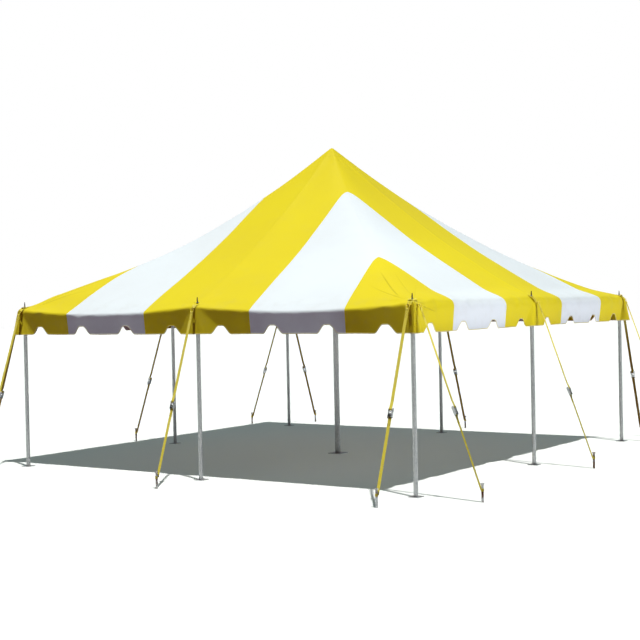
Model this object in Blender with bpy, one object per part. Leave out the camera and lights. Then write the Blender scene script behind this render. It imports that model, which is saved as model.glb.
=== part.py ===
"""Square pole marquee: a striped fabric top on a centre pole and eight side poles, guyed to stakes.

The origin is on the ground under the peak, the sides run along X and Y, and -Y is the front.
"""
import math

import bmesh
import bpy
import numpy as np
from mathutils import Matrix, Vector

# Top: plan, rise and stripes
SIDE = 6.096                    # length of one side of the square top
HALF = SIDE / 2
EAVE_HEIGHT = 2.10              # height of the eave where a pole holds it up
PEAK_RISE = 2.17                # peak above the eave
ROOF_CURVE = 0.27               # how much flatter the roof gets from the peak to the eave
CONTOUR_POWER = 3.4             # contours are rounded squares near the peak
PANEL_HOLLOW = 0.04             # dip of the cloth between two lines of tension
EAVE_SAG = 0.065                # dip of the eave halfway between two poles
CENTRE_STRIPE = 0.135 * SIDE    # from the middle of a side to the edge of its centre panel
WHITE_STRIPE = 0.353 * SIDE     # from the middle of a side to the far edge of its white strip
CENTRE_TAPER = 0.26             # share of that distance lost between the eave and the peak
WHITE_TAPER = 0.34
CLOTH = 0.008                   # upright thickness of the top as modelled
SEAM = 0.0003                   # gap between two panels
ROW_STEP = 0.1                  # rows of a panel, as a share of the way from the peak to the eave
STRIP_TIP = 0.004               # share of that way by which a white strip's tip is blunted
KITE_TIP = 0.006                # and a kite's
PEAK_CAP = 0.045                # half width of the peak cap as a share of HALF
POLE_BAND = 0.96                # share of the way to the eave beyond which the poles stand

# Valance
VALANCE_BOTTOM = 0.34           # below the eave height
VALANCE_CLOTH = 0.006
NOTCHES = 8
NOTCH_DEPTH = 0.10
NOTCH_WIDE = 0.135              # half width at the bottom edge
NOTCH_NARROW = 0.05             # half width at the top of the notch
NOTCH_ROUND = 0.022

# Poles
POLE_INSET = 0.06               # pole axis inside the eave
SIDE_POLE_RADIUS = 0.0254
PIN_RADIUS = 0.008
PIN_TIP_RADIUS = 0.004
PIN_ABOVE_ROOF = 0.075
GROMMET_RADIUS = 0.012
FOOT_HALF = 0.065
FOOT_THICK = 0.008
CENTRE_POLE_RADIUS = 0.0381
CENTRE_FOOT_HALF = 0.10
SOCKET_HEIGHT = 2.10            # where the upper centre pole slips over the lower one
SPIGOT_RADIUS = 0.0340
SPIGOT_LENGTH = 0.15
HEAD_RADIUS = 0.012             # pin that carries the peak
HEAD_LENGTH = 0.12
FIT = 0.0003

# Guys
GUY_SPREAD = 0.80               # from a pole to its stake
STRAP_HALF = 0.019
STRAP_THICK = 0.004
EDGE_INSIDE = 0.010             # strap's last point over the roof, inside the valance's face
EDGE_FALL = 0.007               # and below its collar
TURN_OUTSIDE = 0.025            # where it turns down, outside the valance's face
TURN_DROP = 0.004               # and below the eave height
COLLAR_RADIUS = 0.024
COLLAR_THICK = 0.005
COLLAR_LIFT = 0.001             # above the highest cloth under the collar
COLLAR_GRIP = 0.006             # how far the strap runs into its collar
RING_OUTSIDE = 0.035            # middle of the ring
RING_DROP = 0.050
RING_RADIUS = 0.022
RING_WIRE = 0.004

# Ratchets: places are along the strap, downwards from the middle, and outwards from its face
RATCHET_HEIGHT = 0.95           # middle of the ratchet above the ground
PLATE = 0.0025                  # thickness of the side plates
FRAME_HALF = 0.0255             # outer faces of the frame's plates
HANDLE_HALF = 0.0222            # outer faces of the handle's plates
SPOOL = (-0.034, 0)
SPOOL_RADIUS = 0.0135           # with the strap wound on it
BOLT = (0.052, 0)
BOLT_RADIUS = 0.0042
GRIP = (0.040, 0.011)
GRIP_RADIUS = 0.0068
FRAME_ROUNDS = (0.0165, 0.0085)  # rounding of the frame's plates at the spool and the bolt
HANDLE_ROUNDS = (0.0146, 0.0080)
ROD_END = 0.003                 # spool and bolt beyond the frame
ROD_SIDES = 8

# Stakes
STAKE_RADIUS = 0.0125
STAKE_HEIGHT = 0.20
STAKE_HEAD_RADIUS = 0.020
STAKE_HEAD_THICK = 0.014
LOOP_HEIGHT = 0.13              # where the strap goes round its stake
LOOP_THICK = 0.005

SIDES = ("front", "right", "back", "left")
CORNERS = ("front_right", "back_right", "back_left", "front_left")


def eave_dip(along):
    """Dip of the eave at a share `along` of the way from the middle of a side to its corner."""
    return EAVE_SAG * 4 * along * (1 - along)


def roof_height(x, y):
    """Height of the top of the cloth: concave, square at the eave and rounder near the peak."""
    across, along = sorted((abs(x) / HALF, abs(y) / HALF))
    if along == 0:
        return EAVE_HEIGHT + PEAK_RISE
    rounded = (along ** CONTOUR_POWER + across ** CONTOUR_POWER) ** (1 / CONTOUR_POWER)
    reach = rounded + (along - rounded) * along
    rise = PEAK_RISE * (1 - reach) * (1 - ROOF_CURVE * reach)
    hollow = PANEL_HOLLOW * math.sin(math.pi * across / along) ** 2 * reach * (1 - reach)
    return EAVE_HEIGHT + rise - hollow - eave_dip(across) * along ** 8


def centre_edge(share):
    """Half width of the centre panel at a share of the way from the peak to the eave."""
    return CENTRE_STRIPE * (1 - CENTRE_TAPER * (1 - share))


def white_edge(share):
    """Distance of the white strip's far edge from the middle of its side."""
    return WHITE_STRIPE * (1 - WHITE_TAPER * (1 - share))


def hip_share(stripe, taper):
    """Share of the way down the hip where a stripe's edge meets it."""
    return stripe * (1 - taper) / (HALF - stripe * taper)


def material(name, colour, roughness, metallic=0.0):
    """Principled material with one colour."""
    made = bpy.data.materials.new(name)
    made.use_nodes = True
    shader = made.node_tree.nodes["Principled BSDF"]
    shader.inputs["Base Color"].default_value = (*colour, 1.0)
    shader.inputs["Roughness"].default_value = roughness
    shader.inputs["Metallic"].default_value = metallic
    return made


def object_from(name, shape, finish, smooth=False):
    """Object whose mesh is the bmesh `shape`, with its faces turned outwards."""
    bmesh.ops.recalc_face_normals(shape, faces=shape.faces)
    mesh = bpy.data.meshes.new(name)
    shape.to_mesh(mesh)
    shape.free()
    mesh.materials.append(finish)
    if smooth:
        mesh.shade_smooth()
        mesh.set_sharp_from_angle(angle=math.radians(35))
    made = bpy.data.objects.new(name, mesh)
    bpy.context.scene.collection.objects.link(made)
    return made


def hidden(name, shape, finish):
    """Piece that cuts or is fused into another one, and isn't a node itself."""
    made = object_from(name, shape, finish)
    made.hide_render = True
    made.display_type = "WIRE"
    return made


def quarter_turns(turns):
    return Matrix.Rotation(turns * math.pi / 2, 4, "Z")


def cutter(name, radius, low, high, place):
    """Upright cylinder that cuts a hole."""
    shape = bmesh.new()
    bmesh.ops.create_cone(shape, cap_ends=True, segments=12, radius1=radius, radius2=radius,
                          depth=high - low)
    bmesh.ops.translate(shape, verts=shape.verts, vec=place + Vector((0, 0, (low + high) / 2)))
    return hidden(name, shape, TOOL)


def combine(target, other, operation):
    """Live exact Boolean of `other` on `target`."""
    change = target.modifiers.new(operation.lower() + "_" + other.name, "BOOLEAN")
    change.operation = operation
    change.solver = "EXACT"
    change.object = other


def cloth_slab(name, rows, finish):
    """Closed slab of cloth under a grid of plan points: `rows` are lists of (x, y) of one length."""
    shape = bmesh.new()
    top, under = [], []
    for row in rows:
        heights = [roof_height(x, y) for x, y in row]
        top.append([shape.verts.new((x, y, z)) for (x, y), z in zip(row, heights)])
        under.append([shape.verts.new((x, y, z - CLOTH)) for (x, y), z in zip(row, heights)])
    count = len(rows[0])
    for i in range(len(rows) - 1):
        for j in range(count - 1):
            for layer in (top, under):
                shape.faces.new((layer[i][j], layer[i][j + 1], layer[i + 1][j + 1], layer[i + 1][j]))
        for j in (0, count - 1):
            shape.faces.new((top[i][j], top[i + 1][j], under[i + 1][j], under[i][j]))
    for i in (0, len(rows) - 1):
        for j in range(count - 1):
            shape.faces.new((top[i][j], top[i][j + 1], under[i][j + 1], under[i][j]))
    return object_from(name, shape, finish, smooth=True)


def shares_between(first, last, step, kinks=()):
    """Rows from `first` to `last` about `step` apart, with a row at each kink between them."""
    stops = [first] + [k for k in kinks if first < k < last] + [last]
    rows = [first]
    for low, high in zip(stops, stops[1:]):
        parts = max(1, round((high - low) / step))
        rows += [low + (high - low) * (i + 1) / parts for i in range(parts)]
    return rows


def strip_rows(turn, shares, left, right, columns):
    """Plan rows of a panel on one side of the roof between two edges given by functions."""
    spin = quarter_turns(turn)
    rows = []
    for share in shares:
        low, high = left(share) + SEAM / 2, right(share) - SEAM / 2
        points = [spin @ Vector((u, -share * HALF, 0)) for u in np.linspace(low, high, columns)]
        rows.append([(p.x, p.y) for p in points])
    return rows


def centre_panels():
    """Yellow panels that run from the peak cap down the middle of each side."""
    meets_hip = hip_share(CENTRE_STRIPE, CENTRE_TAPER)
    shares = shares_between(PEAK_CAP + SEAM / HALF, 1.0, ROW_STEP, (meets_hip, POLE_BAND))

    def edge(share):
        return min(centre_edge(share), share * HALF)

    made = []
    for turn, side in enumerate(SIDES):
        rows = strip_rows(turn, shares, lambda s: -edge(s), edge, 7)
        made.append(cloth_slab("centre_panel_" + side, rows, YELLOW))
    return made


def white_strips():
    """White strips beside each centre panel, mitred together at the hips."""
    first = hip_share(CENTRE_STRIPE, CENTRE_TAPER) + STRIP_TIP
    meets_hip = hip_share(WHITE_STRIPE, WHITE_TAPER)
    shares = shares_between(first, 1.0, ROW_STEP, (meets_hip, POLE_BAND))

    def outer(share):
        return min(white_edge(share), share * HALF)

    for turn, side in enumerate(SIDES):
        right = strip_rows(turn, shares, centre_edge, outer, 5)
        left = strip_rows(turn, shares, lambda s: -outer(s), lambda s: -centre_edge(s), 5)
        cloth_slab("white_strip_" + side + "_a", left, WHITE)
        cloth_slab("white_strip_" + side + "_b", right, WHITE)


def corner_panels():
    """Yellow kites at the corners, folded along the hip."""
    first = hip_share(WHITE_STRIPE, WHITE_TAPER) + KITE_TIP
    shares = shares_between(first, 1.0, ROW_STEP, (POLE_BAND,))
    made = []
    for turn, corner in enumerate(CORNERS):
        near = strip_rows(turn, shares, white_edge, lambda s: s * HALF + SEAM / 2, 4)
        far = strip_rows(turn + 1, shares, lambda s: -s * HALF - SEAM / 2, lambda s: -white_edge(s), 4)
        rows = [a + b[1:] for a, b in zip(near, far)]
        made.append(cloth_slab("corner_panel_" + corner, rows, YELLOW))
    return made


def peak_cap():
    """Reinforced cap that closes the roof over the centre pole."""
    shape = bmesh.new()
    ring = [(1, t) for t in (-1, -0.5, 0, 0.5)]
    ring = [quarter_turns(k) @ Vector((t, -r, 0)) for k in range(4) for r, t in ring]
    layers = []
    for drop in (0, CLOTH):
        tip = shape.verts.new((0, 0, roof_height(0, 0) - drop))
        loops = []
        for share in (PEAK_CAP / 2, PEAK_CAP):
            points = [p * share * HALF for p in ring]
            loops.append([shape.verts.new((p.x, p.y, roof_height(p.x, p.y) - drop)) for p in points])
        layers.append((tip, loops))
    count = len(ring)
    for tip, loops in layers:
        for j in range(count):
            k = (j + 1) % count
            shape.faces.new((tip, loops[0][j], loops[0][k]))
            shape.faces.new((loops[0][j], loops[1][j], loops[1][k], loops[0][k]))
    for j in range(count):
        k = (j + 1) % count
        upper, lower = layers[0][1][1], layers[1][1][1]
        shape.faces.new((upper[j], upper[k], lower[k], lower[j]))
    object_from("peak_cap", shape, YELLOW, smooth=True)


def valance_outline(reach):
    """Outline of a valance in (along, height): straight ends, dipped top edge, notched bottom."""
    bottom = EAVE_HEIGHT - VALANCE_BOTTOM
    outline = [(-reach, bottom)]
    pitch = SIDE / NOTCHES
    for k in range(NOTCHES):
        middle = -HALF + (k + 0.5) * pitch
        half_notch = [(NOTCH_WIDE, 0), (NOTCH_WIDE - NOTCH_ROUND, NOTCH_ROUND / 3),
                      (NOTCH_NARROW + NOTCH_ROUND, NOTCH_DEPTH - NOTCH_ROUND),
                      (NOTCH_NARROW - NOTCH_ROUND, NOTCH_DEPTH)]
        outline += [(middle - u, bottom + z) for u, z in half_notch]
        outline += [(middle + u, bottom + z) for u, z in reversed(half_notch)]
    outline.append((reach, bottom))
    for u in np.linspace(reach, -reach, 25):
        outline.append((u, EAVE_HEIGHT - eave_dip(min(1.0, abs(u) / HALF))))
    return outline


def valances():
    """Scalloped strips that hang from the four sides of the eave."""
    for turn, side in enumerate(SIDES):
        reach = HALF + VALANCE_CLOTH if turn % 2 == 0 else HALF
        shape = bmesh.new()
        outline = valance_outline(reach)
        near = [shape.verts.new((u, -HALF - VALANCE_CLOTH, z)) for u, z in outline]
        sheet = shape.faces.new(near)
        made = bmesh.ops.extrude_face_region(shape, geom=[sheet])
        moved = [v for v in made["geom"] if isinstance(v, bmesh.types.BMVert)]
        bmesh.ops.translate(shape, verts=moved, vec=(0, VALANCE_CLOTH - FIT, 0))
        bmesh.ops.transform(shape, matrix=quarter_turns(turn), verts=shape.verts)
        bmesh.ops.triangulate(shape, faces=[f for f in shape.faces if len(f.verts) > 4])
        object_from("valance_" + side, shape, YELLOW)


def turned(profile, segments, place):
    """Closed bmesh of a (radius, height) profile spun about an upright axis at `place`."""
    shape = bmesh.new()
    points = [shape.verts.new((radius, 0, height)) for radius, height in profile]
    edges = [shape.edges.new(pair) for pair in zip(points, points[1:])]
    bmesh.ops.spin(shape, geom=points + edges, cent=(0, 0, 0), axis=(0, 0, 1),
                   angle=math.tau, steps=segments, use_merge=True)
    bmesh.ops.remove_doubles(shape, verts=shape.verts, dist=0.00001)
    bmesh.ops.translate(shape, verts=shape.verts, vec=place)
    return shape


def foot_plate(name, half, place):
    """Square plate on the ground, to be fused with a pole."""
    shape = bmesh.new()
    bmesh.ops.create_cube(shape, size=1.0)
    bmesh.ops.scale(shape, verts=shape.verts, vec=(2 * half, 2 * half, FOOT_THICK))
    bmesh.ops.translate(shape, verts=shape.verts, vec=place + Vector((0, 0, FOOT_THICK / 2)))
    return hidden(name, shape, STEEL)


def pole_points():
    """Name, plan place and outward directions of each side pole."""
    reach = HALF - POLE_INSET
    points = []
    for turn in range(4):
        spin = quarter_turns(turn)
        outward = spin @ Vector((0, -1, 0))
        beside = quarter_turns(turn + 1) @ Vector((0, -1, 0))
        points.append((SIDES[turn], outward * reach, (outward,)))
        points.append((CORNERS[turn], (outward + beside) * reach, (outward, beside)))
    return points


def shoulder_height(place):
    """Highest flat shoulder that stays under the cloth round a side pole's pin."""
    around = [place + Vector((math.cos(a), math.sin(a), 0)) * SIDE_POLE_RADIUS
              for a in np.linspace(0, math.tau, 24, endpoint=False)]
    return min(roof_height(p.x, p.y) for p in around) - CLOTH - FIT


def side_poles(holed_panels):
    """Steel side poles with a foot plate and a pin through the cloth."""
    for name, place, _ in pole_points():
        shoulder = shoulder_height(place)
        tip = roof_height(place.x, place.y) + PIN_ABOVE_ROOF
        profile = [(0, FOOT_THICK / 2), (SIDE_POLE_RADIUS, FOOT_THICK / 2),
                   (SIDE_POLE_RADIUS, shoulder), (PIN_RADIUS, shoulder),
                   (PIN_RADIUS, tip - PIN_ABOVE_ROOF / 2), (PIN_TIP_RADIUS, tip), (0, tip)]
        pole = object_from("side_pole_" + name, turned(profile, 12, place), STEEL, smooth=True)
        combine(pole, foot_plate("foot_" + name, FOOT_HALF, place), "UNION")
        hole = cutter("grommet_cut_" + name, GROMMET_RADIUS, shoulder - 0.05, tip, place)
        combine(holed_panels[name], hole, "DIFFERENCE")


def centre_pole():
    """Two-part centre pole: the upper part slips over a spigot and carries the peak."""
    lower = [(0, FOOT_THICK / 2), (CENTRE_POLE_RADIUS, FOOT_THICK / 2),
             (CENTRE_POLE_RADIUS, SOCKET_HEIGHT), (SPIGOT_RADIUS, SOCKET_HEIGHT),
             (SPIGOT_RADIUS, SOCKET_HEIGHT + SPIGOT_LENGTH), (0, SOCKET_HEIGHT + SPIGOT_LENGTH)]
    middle = Vector((0, 0, 0))
    pole = object_from("centre_pole_lower", turned(lower, 16, middle), STEEL, smooth=True)
    combine(pole, foot_plate("centre_foot", CENTRE_FOOT_HALF, middle), "UNION")
    head = roof_height(HEAD_RADIUS, 0) - CLOTH - FIT
    neck = head - HEAD_LENGTH
    bore = SPIGOT_RADIUS + FIT
    floor = SOCKET_HEIGHT + FIT
    roof = SOCKET_HEIGHT + SPIGOT_LENGTH + FIT
    upper = [(0, roof), (bore, roof), (bore, floor), (CENTRE_POLE_RADIUS, floor),
             (CENTRE_POLE_RADIUS, neck), (HEAD_RADIUS, neck), (HEAD_RADIUS, head), (0, head)]
    object_from("centre_pole_upper", turned(upper, 16, middle), STEEL, smooth=True)


def guy_lines():
    """Label, pole place, outward direction and order on the pin of each guy."""
    lines = []
    for name, place, directions in pole_points():
        for order, outward in enumerate(directions):
            label = name if len(directions) == 1 else name + "_" + "ab"[order]
            lines.append((label, place, outward, order))
    return lines


def guy_route(collar):
    """Strap route in (outward, height) from the pin, over the eave and down to the stake."""
    face = POLE_INSET + VALANCE_CLOTH
    return [Vector((COLLAR_RADIUS - COLLAR_GRIP, collar)),
            Vector((COLLAR_RADIUS + COLLAR_GRIP / 2, collar)),
            Vector((face - EDGE_INSIDE, collar - EDGE_FALL)),
            Vector((face + TURN_OUTSIDE, EAVE_HEIGHT - TURN_DROP)),
            Vector((face + RING_OUTSIDE, EAVE_HEIGHT - RING_DROP)),
            Vector((GUY_SPREAD - STAKE_RADIUS - LOOP_THICK, LOOP_HEIGHT))]


def collar_height(place):
    """Height of the collar that sits on the cloth round a pin."""
    around = [place + Vector((math.cos(a), math.sin(a), 0)) * COLLAR_RADIUS
              for a in np.linspace(0, math.tau, 24, endpoint=False)]
    return max(roof_height(p.x, p.y) for p in around) + COLLAR_LIFT + COLLAR_THICK / 2


def ribbon(shape, route, half_width, thick, frame):
    """Closed ribbon along a route in a frame's (outward, height) plane."""
    sections = []
    for i, point in enumerate(route):
        before, after = route[max(i - 1, 0)], route[min(i + 1, len(route) - 1)]
        along = (after - before).normalized()
        normal = Vector((along.y, -along.x)) * thick / 2
        corners = [(point + n, s * half_width) for n, s in
                   ((normal, -1), (normal, 1), (-normal, 1), (-normal, -1))]
        sections.append([shape.verts.new(frame @ Vector((p.x, w, p.y))) for p, w in corners])
    for a, b in zip(sections, sections[1:]):
        for j in range(4):
            k = (j + 1) % 4
            shape.faces.new((a[j], a[k], b[k], b[j]))
    shape.faces.new(sections[0])
    shape.faces.new(sections[-1])


def torus(shape, ring, wire, matrix, segments=12, sides=5):
    """Closed ring of round wire."""
    loops = []
    for i in range(segments):
        a = math.tau * i / segments
        middle = Vector((math.cos(a), math.sin(a), 0))
        loops.append([shape.verts.new(matrix @ (middle * (ring + wire * math.cos(b))
                                                + Vector((0, 0, wire * math.sin(b)))))
                      for b in (math.tau * j / sides for j in range(sides))])
    for i in range(segments):
        near, far = loops[i], loops[(i + 1) % segments]
        for j in range(sides):
            k = (j + 1) % sides
            shape.faces.new((near[j], near[k], far[k], far[j]))


def tube_ring(inner, outer, tall, segments, place):
    """Short upright tube centred at `place`."""
    return turned([(inner, -tall / 2), (outer, -tall / 2), (outer, tall / 2), (inner, tall / 2),
                   (inner, -tall / 2)], segments, place)


def arc(middle, radius, start, stop, count):
    """Points of an arc in a ratchet's (along, face) plane."""
    return [(middle[0] + radius * math.cos(turn), middle[1] + radius * math.sin(turn))
            for turn in np.linspace(start, stop, count)]


def belt(first, second, rounds):
    """Outline of a plate that is round at both ends, as a belt runs over two wheels."""
    run, rise = second[0] - first[0], second[1] - first[1]
    heading = math.atan2(rise, run)
    lean = math.acos((rounds[0] - rounds[1]) / math.hypot(run, rise))
    return (arc(first, rounds[0], heading + lean, heading + math.tau - lean, 4)
            + arc(second, rounds[1], heading - lean, heading + lean, 3))


def across_ratchet(outline, low, high, matrix):
    """Prism of an outline in (along, face) between two places across the strap."""
    shape = bmesh.new()
    near, far = [[shape.verts.new((face, across, -along)) for along, face in outline]
                 for across in (low, high)]
    shape.faces.new(near)
    shape.faces.new(far)
    for j in range(len(outline)):
        k = (j + 1) % len(outline)
        shape.faces.new((near[j], near[k], far[k], far[j]))
    bmesh.ops.transform(shape, verts=shape.verts, matrix=matrix)
    return shape


def ratchet_shapes(matrix):
    """Side plates of a ratchet's frame and handle, its spool, its bolt and its grip."""
    shapes = []
    for outer, middles, rounds in ((FRAME_HALF, (SPOOL, BOLT), FRAME_ROUNDS),
                                   (HANDLE_HALF, (SPOOL, GRIP), HANDLE_ROUNDS)):
        outline = belt(*middles, rounds)
        shapes.append(across_ratchet(outline, -outer, PLATE - outer, matrix))
        shapes.append(across_ratchet(outline, outer - PLATE, outer, matrix))
    for half, middle, radius in ((FRAME_HALF + ROD_END, SPOOL, SPOOL_RADIUS),
                                 (FRAME_HALF + ROD_END, BOLT, BOLT_RADIUS),
                                 (HANDLE_HALF - PLATE / 2, GRIP, GRIP_RADIUS)):
        outline = arc(middle, radius, 0, math.tau, ROD_SIDES + 1)[:-1]
        shapes.append(across_ratchet(outline, -half, half, matrix))
    return shapes


def guys():
    """Webbing guys: a collar on the pin, a strap with a ring and a ratchet, a loop on the stake."""
    for label, place, outward, order in guy_lines():
        height = collar_height(place) + order * (COLLAR_THICK + FIT)
        collar = tube_ring(PIN_RADIUS + FIT, COLLAR_RADIUS, COLLAR_THICK, 12,
                           place + Vector((0, 0, height)))
        guy = object_from("guy_" + label, collar, WEBBING)
        beside = Vector((0, 0, 1)).cross(outward)
        frame = Matrix((outward, beside, Vector((0, 0, 1)))).transposed().to_4x4()
        frame.translation = place
        route = guy_route(height)
        strap = bmesh.new()
        ribbon(strap, route, STRAP_HALF, STRAP_THICK, frame)
        combine(guy, hidden("strap_" + label, strap, WEBBING), "UNION")
        start, stop = route[-2], route[-1]
        along = (stop - start).normalized()
        slant = Matrix.Rotation(-math.atan2(along.x, -along.y), 4, "Y")
        ring = bmesh.new()
        at_ring = frame @ Matrix.Translation((start.x, 0, start.y)) @ slant
        torus(ring, RING_RADIUS, RING_WIRE, at_ring @ Matrix.Rotation(math.pi / 2, 4, "Y"))
        combine(guy, hidden("ring_" + label, ring, WEBBING), "UNION")
        middle = start.lerp(stop, (start.y - RATCHET_HEIGHT) / (start.y - stop.y))
        at_ratchet = frame @ Matrix.Translation((middle.x, 0, middle.y)) @ slant
        for number, shape in enumerate(ratchet_shapes(at_ratchet)):
            combine(guy, hidden("ratchet_%d_%s" % (number, label), shape, STEEL), "UNION")
        inner = STAKE_RADIUS + FIT
        loop = tube_ring(inner, inner + LOOP_THICK, 1.4 * STRAP_HALF, 12,
                         place + outward * GUY_SPREAD + Vector((0, 0, LOOP_HEIGHT)))
        combine(guy, hidden("loop_" + label, loop, WEBBING), "UNION")


def stakes():
    """Steel stakes, of which the part above the ground is made."""
    neck = STAKE_HEIGHT - STAKE_HEAD_THICK
    profile = [(0, 0), (STAKE_RADIUS, 0), (STAKE_RADIUS, neck), (STAKE_HEAD_RADIUS, neck),
               (STAKE_HEAD_RADIUS, STAKE_HEIGHT), (0, STAKE_HEIGHT)]
    for label, place, outward, _ in guy_lines():
        object_from("stake_" + label, turned(profile, 12, place + outward * GUY_SPREAD), STEEL,
                    smooth=True)


for old in list(bpy.data.objects):
    bpy.data.objects.remove(old, do_unlink=True)

YELLOW = material("vinyl_yellow", (0.90, 0.75, 0.035), 0.45)
WHITE = material("vinyl_white", (0.88, 0.90, 0.91), 0.45)
STEEL = material("galvanised_steel", (0.45, 0.46, 0.47), 0.4, 1.0)
WEBBING = material("webbing_yellow", (0.80, 0.62, 0.04), 0.8)
TOOL = material("cutter", (0.5, 0.5, 0.5), 0.5)

centres = centre_panels()
white_strips()
corners = corner_panels()
peak_cap()
valances()
side_poles(dict(zip(SIDES + CORNERS, centres + corners)))
centre_pole()
guys()
stakes()
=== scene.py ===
from math import cos, pi, radians, sin, tau

import bmesh
import bpy
import numpy as np
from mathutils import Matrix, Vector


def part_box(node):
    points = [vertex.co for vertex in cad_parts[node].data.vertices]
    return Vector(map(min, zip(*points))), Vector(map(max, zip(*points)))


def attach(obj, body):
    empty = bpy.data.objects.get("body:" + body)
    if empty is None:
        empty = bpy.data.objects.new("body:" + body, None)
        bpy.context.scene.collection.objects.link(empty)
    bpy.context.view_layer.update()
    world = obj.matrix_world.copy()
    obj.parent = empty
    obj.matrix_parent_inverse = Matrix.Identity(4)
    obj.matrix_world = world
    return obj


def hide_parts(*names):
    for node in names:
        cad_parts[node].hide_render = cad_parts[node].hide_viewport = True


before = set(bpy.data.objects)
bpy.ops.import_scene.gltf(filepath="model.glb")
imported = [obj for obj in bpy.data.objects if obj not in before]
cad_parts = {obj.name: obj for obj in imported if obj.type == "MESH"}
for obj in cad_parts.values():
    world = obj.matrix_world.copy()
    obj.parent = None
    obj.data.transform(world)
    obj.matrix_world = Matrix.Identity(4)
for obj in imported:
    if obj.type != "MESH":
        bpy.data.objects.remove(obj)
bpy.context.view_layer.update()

scene = bpy.context.scene
print("frame loaded,", len(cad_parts), "nodes")

# The tent's own measures, as in its solids: metres, origin on the ground under the peak
tent = {
    "halfSide": 3.048,
    "eaveHeight": 2.10,
    "peakRise": 2.17,
    "roofCurve": 0.27,        # how much flatter the roof gets towards the eave
    "contourPower": 3.4,      # contours are rounded squares near the peak
    "panelHollow": 0.04,
    "eaveSag": 0.065,         # dip of the eave between two poles
    "sagPower": 8,            # how fast that dip fades up the roof
    "poleInset": 0.06,        # pole axis inside the eave
    "centreStripe": 0.82296,  # half width of the middle stripe at the eave
    "whiteStripe": 2.15189,   # far edge of the white stripe at the eave
    "centreTaper": 0.26,
    "whiteTaper": 0.34,
}
halfSide = tent["halfSide"]
diagonal = 0.707              # a length's share along each of two square directions
sideNames = ("front", "right", "back", "left")
cornerNames = ("front_right", "back_right", "back_left", "front_left")


# Surfaces worked out with numpy

# Eases from 0 at low to 1 at high
def ease(low, high, value):
    share = np.clip((value - low) / (high - low), 0, 1)
    return share * share * (3 - 2 * share)


# A soft bump: 1 at the middle, falling to nothing a few widths away
def bell(value, width, middle=0.0):
    return np.exp(-((value - middle) / width) ** 2)


# Stops from low to high that crowd where the density is high: equal steps of its running sum
def crowded(low, high, count, density):
    fine = np.linspace(low, high, 6001)
    weight = density(fine)
    total = np.concatenate([[0], np.cumsum((weight[1:] + weight[:-1]) / 2)])
    return np.interp(np.linspace(0, total[-1], count), total, fine)


# Slow unevenness: a sum of sine waves of seeded directions, lengths and starts
def ripples(x, y, lengths, seed, count=14):
    dice = np.random.RandomState(seed)
    heading, start = dice.uniform(0, tau, count), dice.uniform(0, tau, count)
    length = dice.uniform(*lengths, count)
    waves = [np.sin((x * cos(h) + y * sin(h)) * tau / l + s) for h, l, s in zip(heading, length, start)]
    return sum(waves) / np.sqrt(count)


# Unit vectors along the last axis
def unit(vectors):
    return vectors / np.maximum(np.linalg.norm(vectors, axis=-1, keepdims=True), 1e-12)


# Normals of a grid of points: the cross product of its two directions
def gridNormals(points):
    down, across = np.gradient(points, axis=0), np.gradient(points, axis=1)
    return unit(np.cross(across, down))


# Distance run along a line of points
def runLength(path):
    steps = np.linalg.norm(np.diff(path, axis=0), axis=-1)
    return np.concatenate([[0], np.cumsum(steps)])


# The same line with its points at even steps
def evenly(path, count):
    run = runLength(path)
    at = np.linspace(0, run[-1], count)
    return np.stack([np.interp(at, run, path[:, k]) for k in range(3)], axis=-1)


# A line through a few points, with its corners cut at a quarter of their edges in every round
def rounded(points, rounds):
    path = np.array(points, dtype=float)
    for _ in range(rounds):
        early, late = path[:-1] * 0.75 + path[1:] * 0.25, path[:-1] * 0.25 + path[1:] * 0.75
        cut = np.concatenate([early, late], axis=1).reshape(-1, path.shape[1])
        path = np.concatenate([path[:1], cut, path[-1:]])
    return path


# One grid of a piece: points (rows, columns, 3), its own map in metres, and the material that it takes
def patch(points, chart=None, loop=False, material=0):
    rows, columns = points.shape[:2]
    index = np.arange(rows * columns).reshape(rows, columns)
    if loop:
        index = np.concatenate([index, index[:1]])
    corners = index[:-1, :-1], index[:-1, 1:], index[1:, 1:], index[1:, :-1]
    faces = np.stack(corners, axis=-1).reshape(-1, 4)
    if chart is None:
        chart = np.zeros((rows, columns, 2))
    return {"points": points.reshape(-1, 3), "faces": faces, "chart": chart.reshape(-1, 2),
            "material": material}


# A closed sheet of cloth between two grids of one shape: over the first, back under the second, ends shut
def clothPatch(outer, inner, chart, ring=False):
    whole = patch(np.concatenate([outer, inner[::-1]]), np.concatenate([chart, chart[::-1]]), loop=True)
    if not ring:
        rows, columns = outer.shape[:2]
        above = np.arange(rows)[:, None] * columns + np.array([0, columns - 1])
        below = (2 * rows - 1 - np.arange(rows))[:, None] * columns + np.array([0, columns - 1])
        ends = np.stack([above[:-1], above[1:], below[1:], below[:-1]], axis=-1).reshape(-1, 4)
        whole["faces"] = np.concatenate([whole["faces"], ends])
    return whole


# A profile carried along a path: each section lies across the path, in its side and face directions
def carried(path, side, profile, material=0, capped=True):
    ahead = unit(np.gradient(path, axis=0))
    side = unit(side - ahead * np.sum(side * ahead, axis=-1, keepdims=True))
    face = np.cross(ahead, side)
    section = np.concatenate([profile, profile[:1]])
    points = path[:, None] + side[:, None] * section[None, :, :1] + face[:, None] * section[None, :, 1:]
    run = np.concatenate([[0], np.cumsum(np.linalg.norm(np.diff(section, axis=0), axis=-1))])
    chart = np.stack(np.broadcast_arrays(runLength(path)[:, None], run[None]), axis=-1)
    if capped:
        ends = [np.broadcast_to(path[k], points[:1].shape) for k in (0, -1)]
        points = np.concatenate([ends[0], points, ends[1]])
        chart = np.concatenate([chart[:1], chart, chart[-1:]])
    return patch(points, chart, material=material)


strapSection = {"sides": 14, "start": 0.2, "widthPower": 0.45, "thickPower": 0.7}


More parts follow.
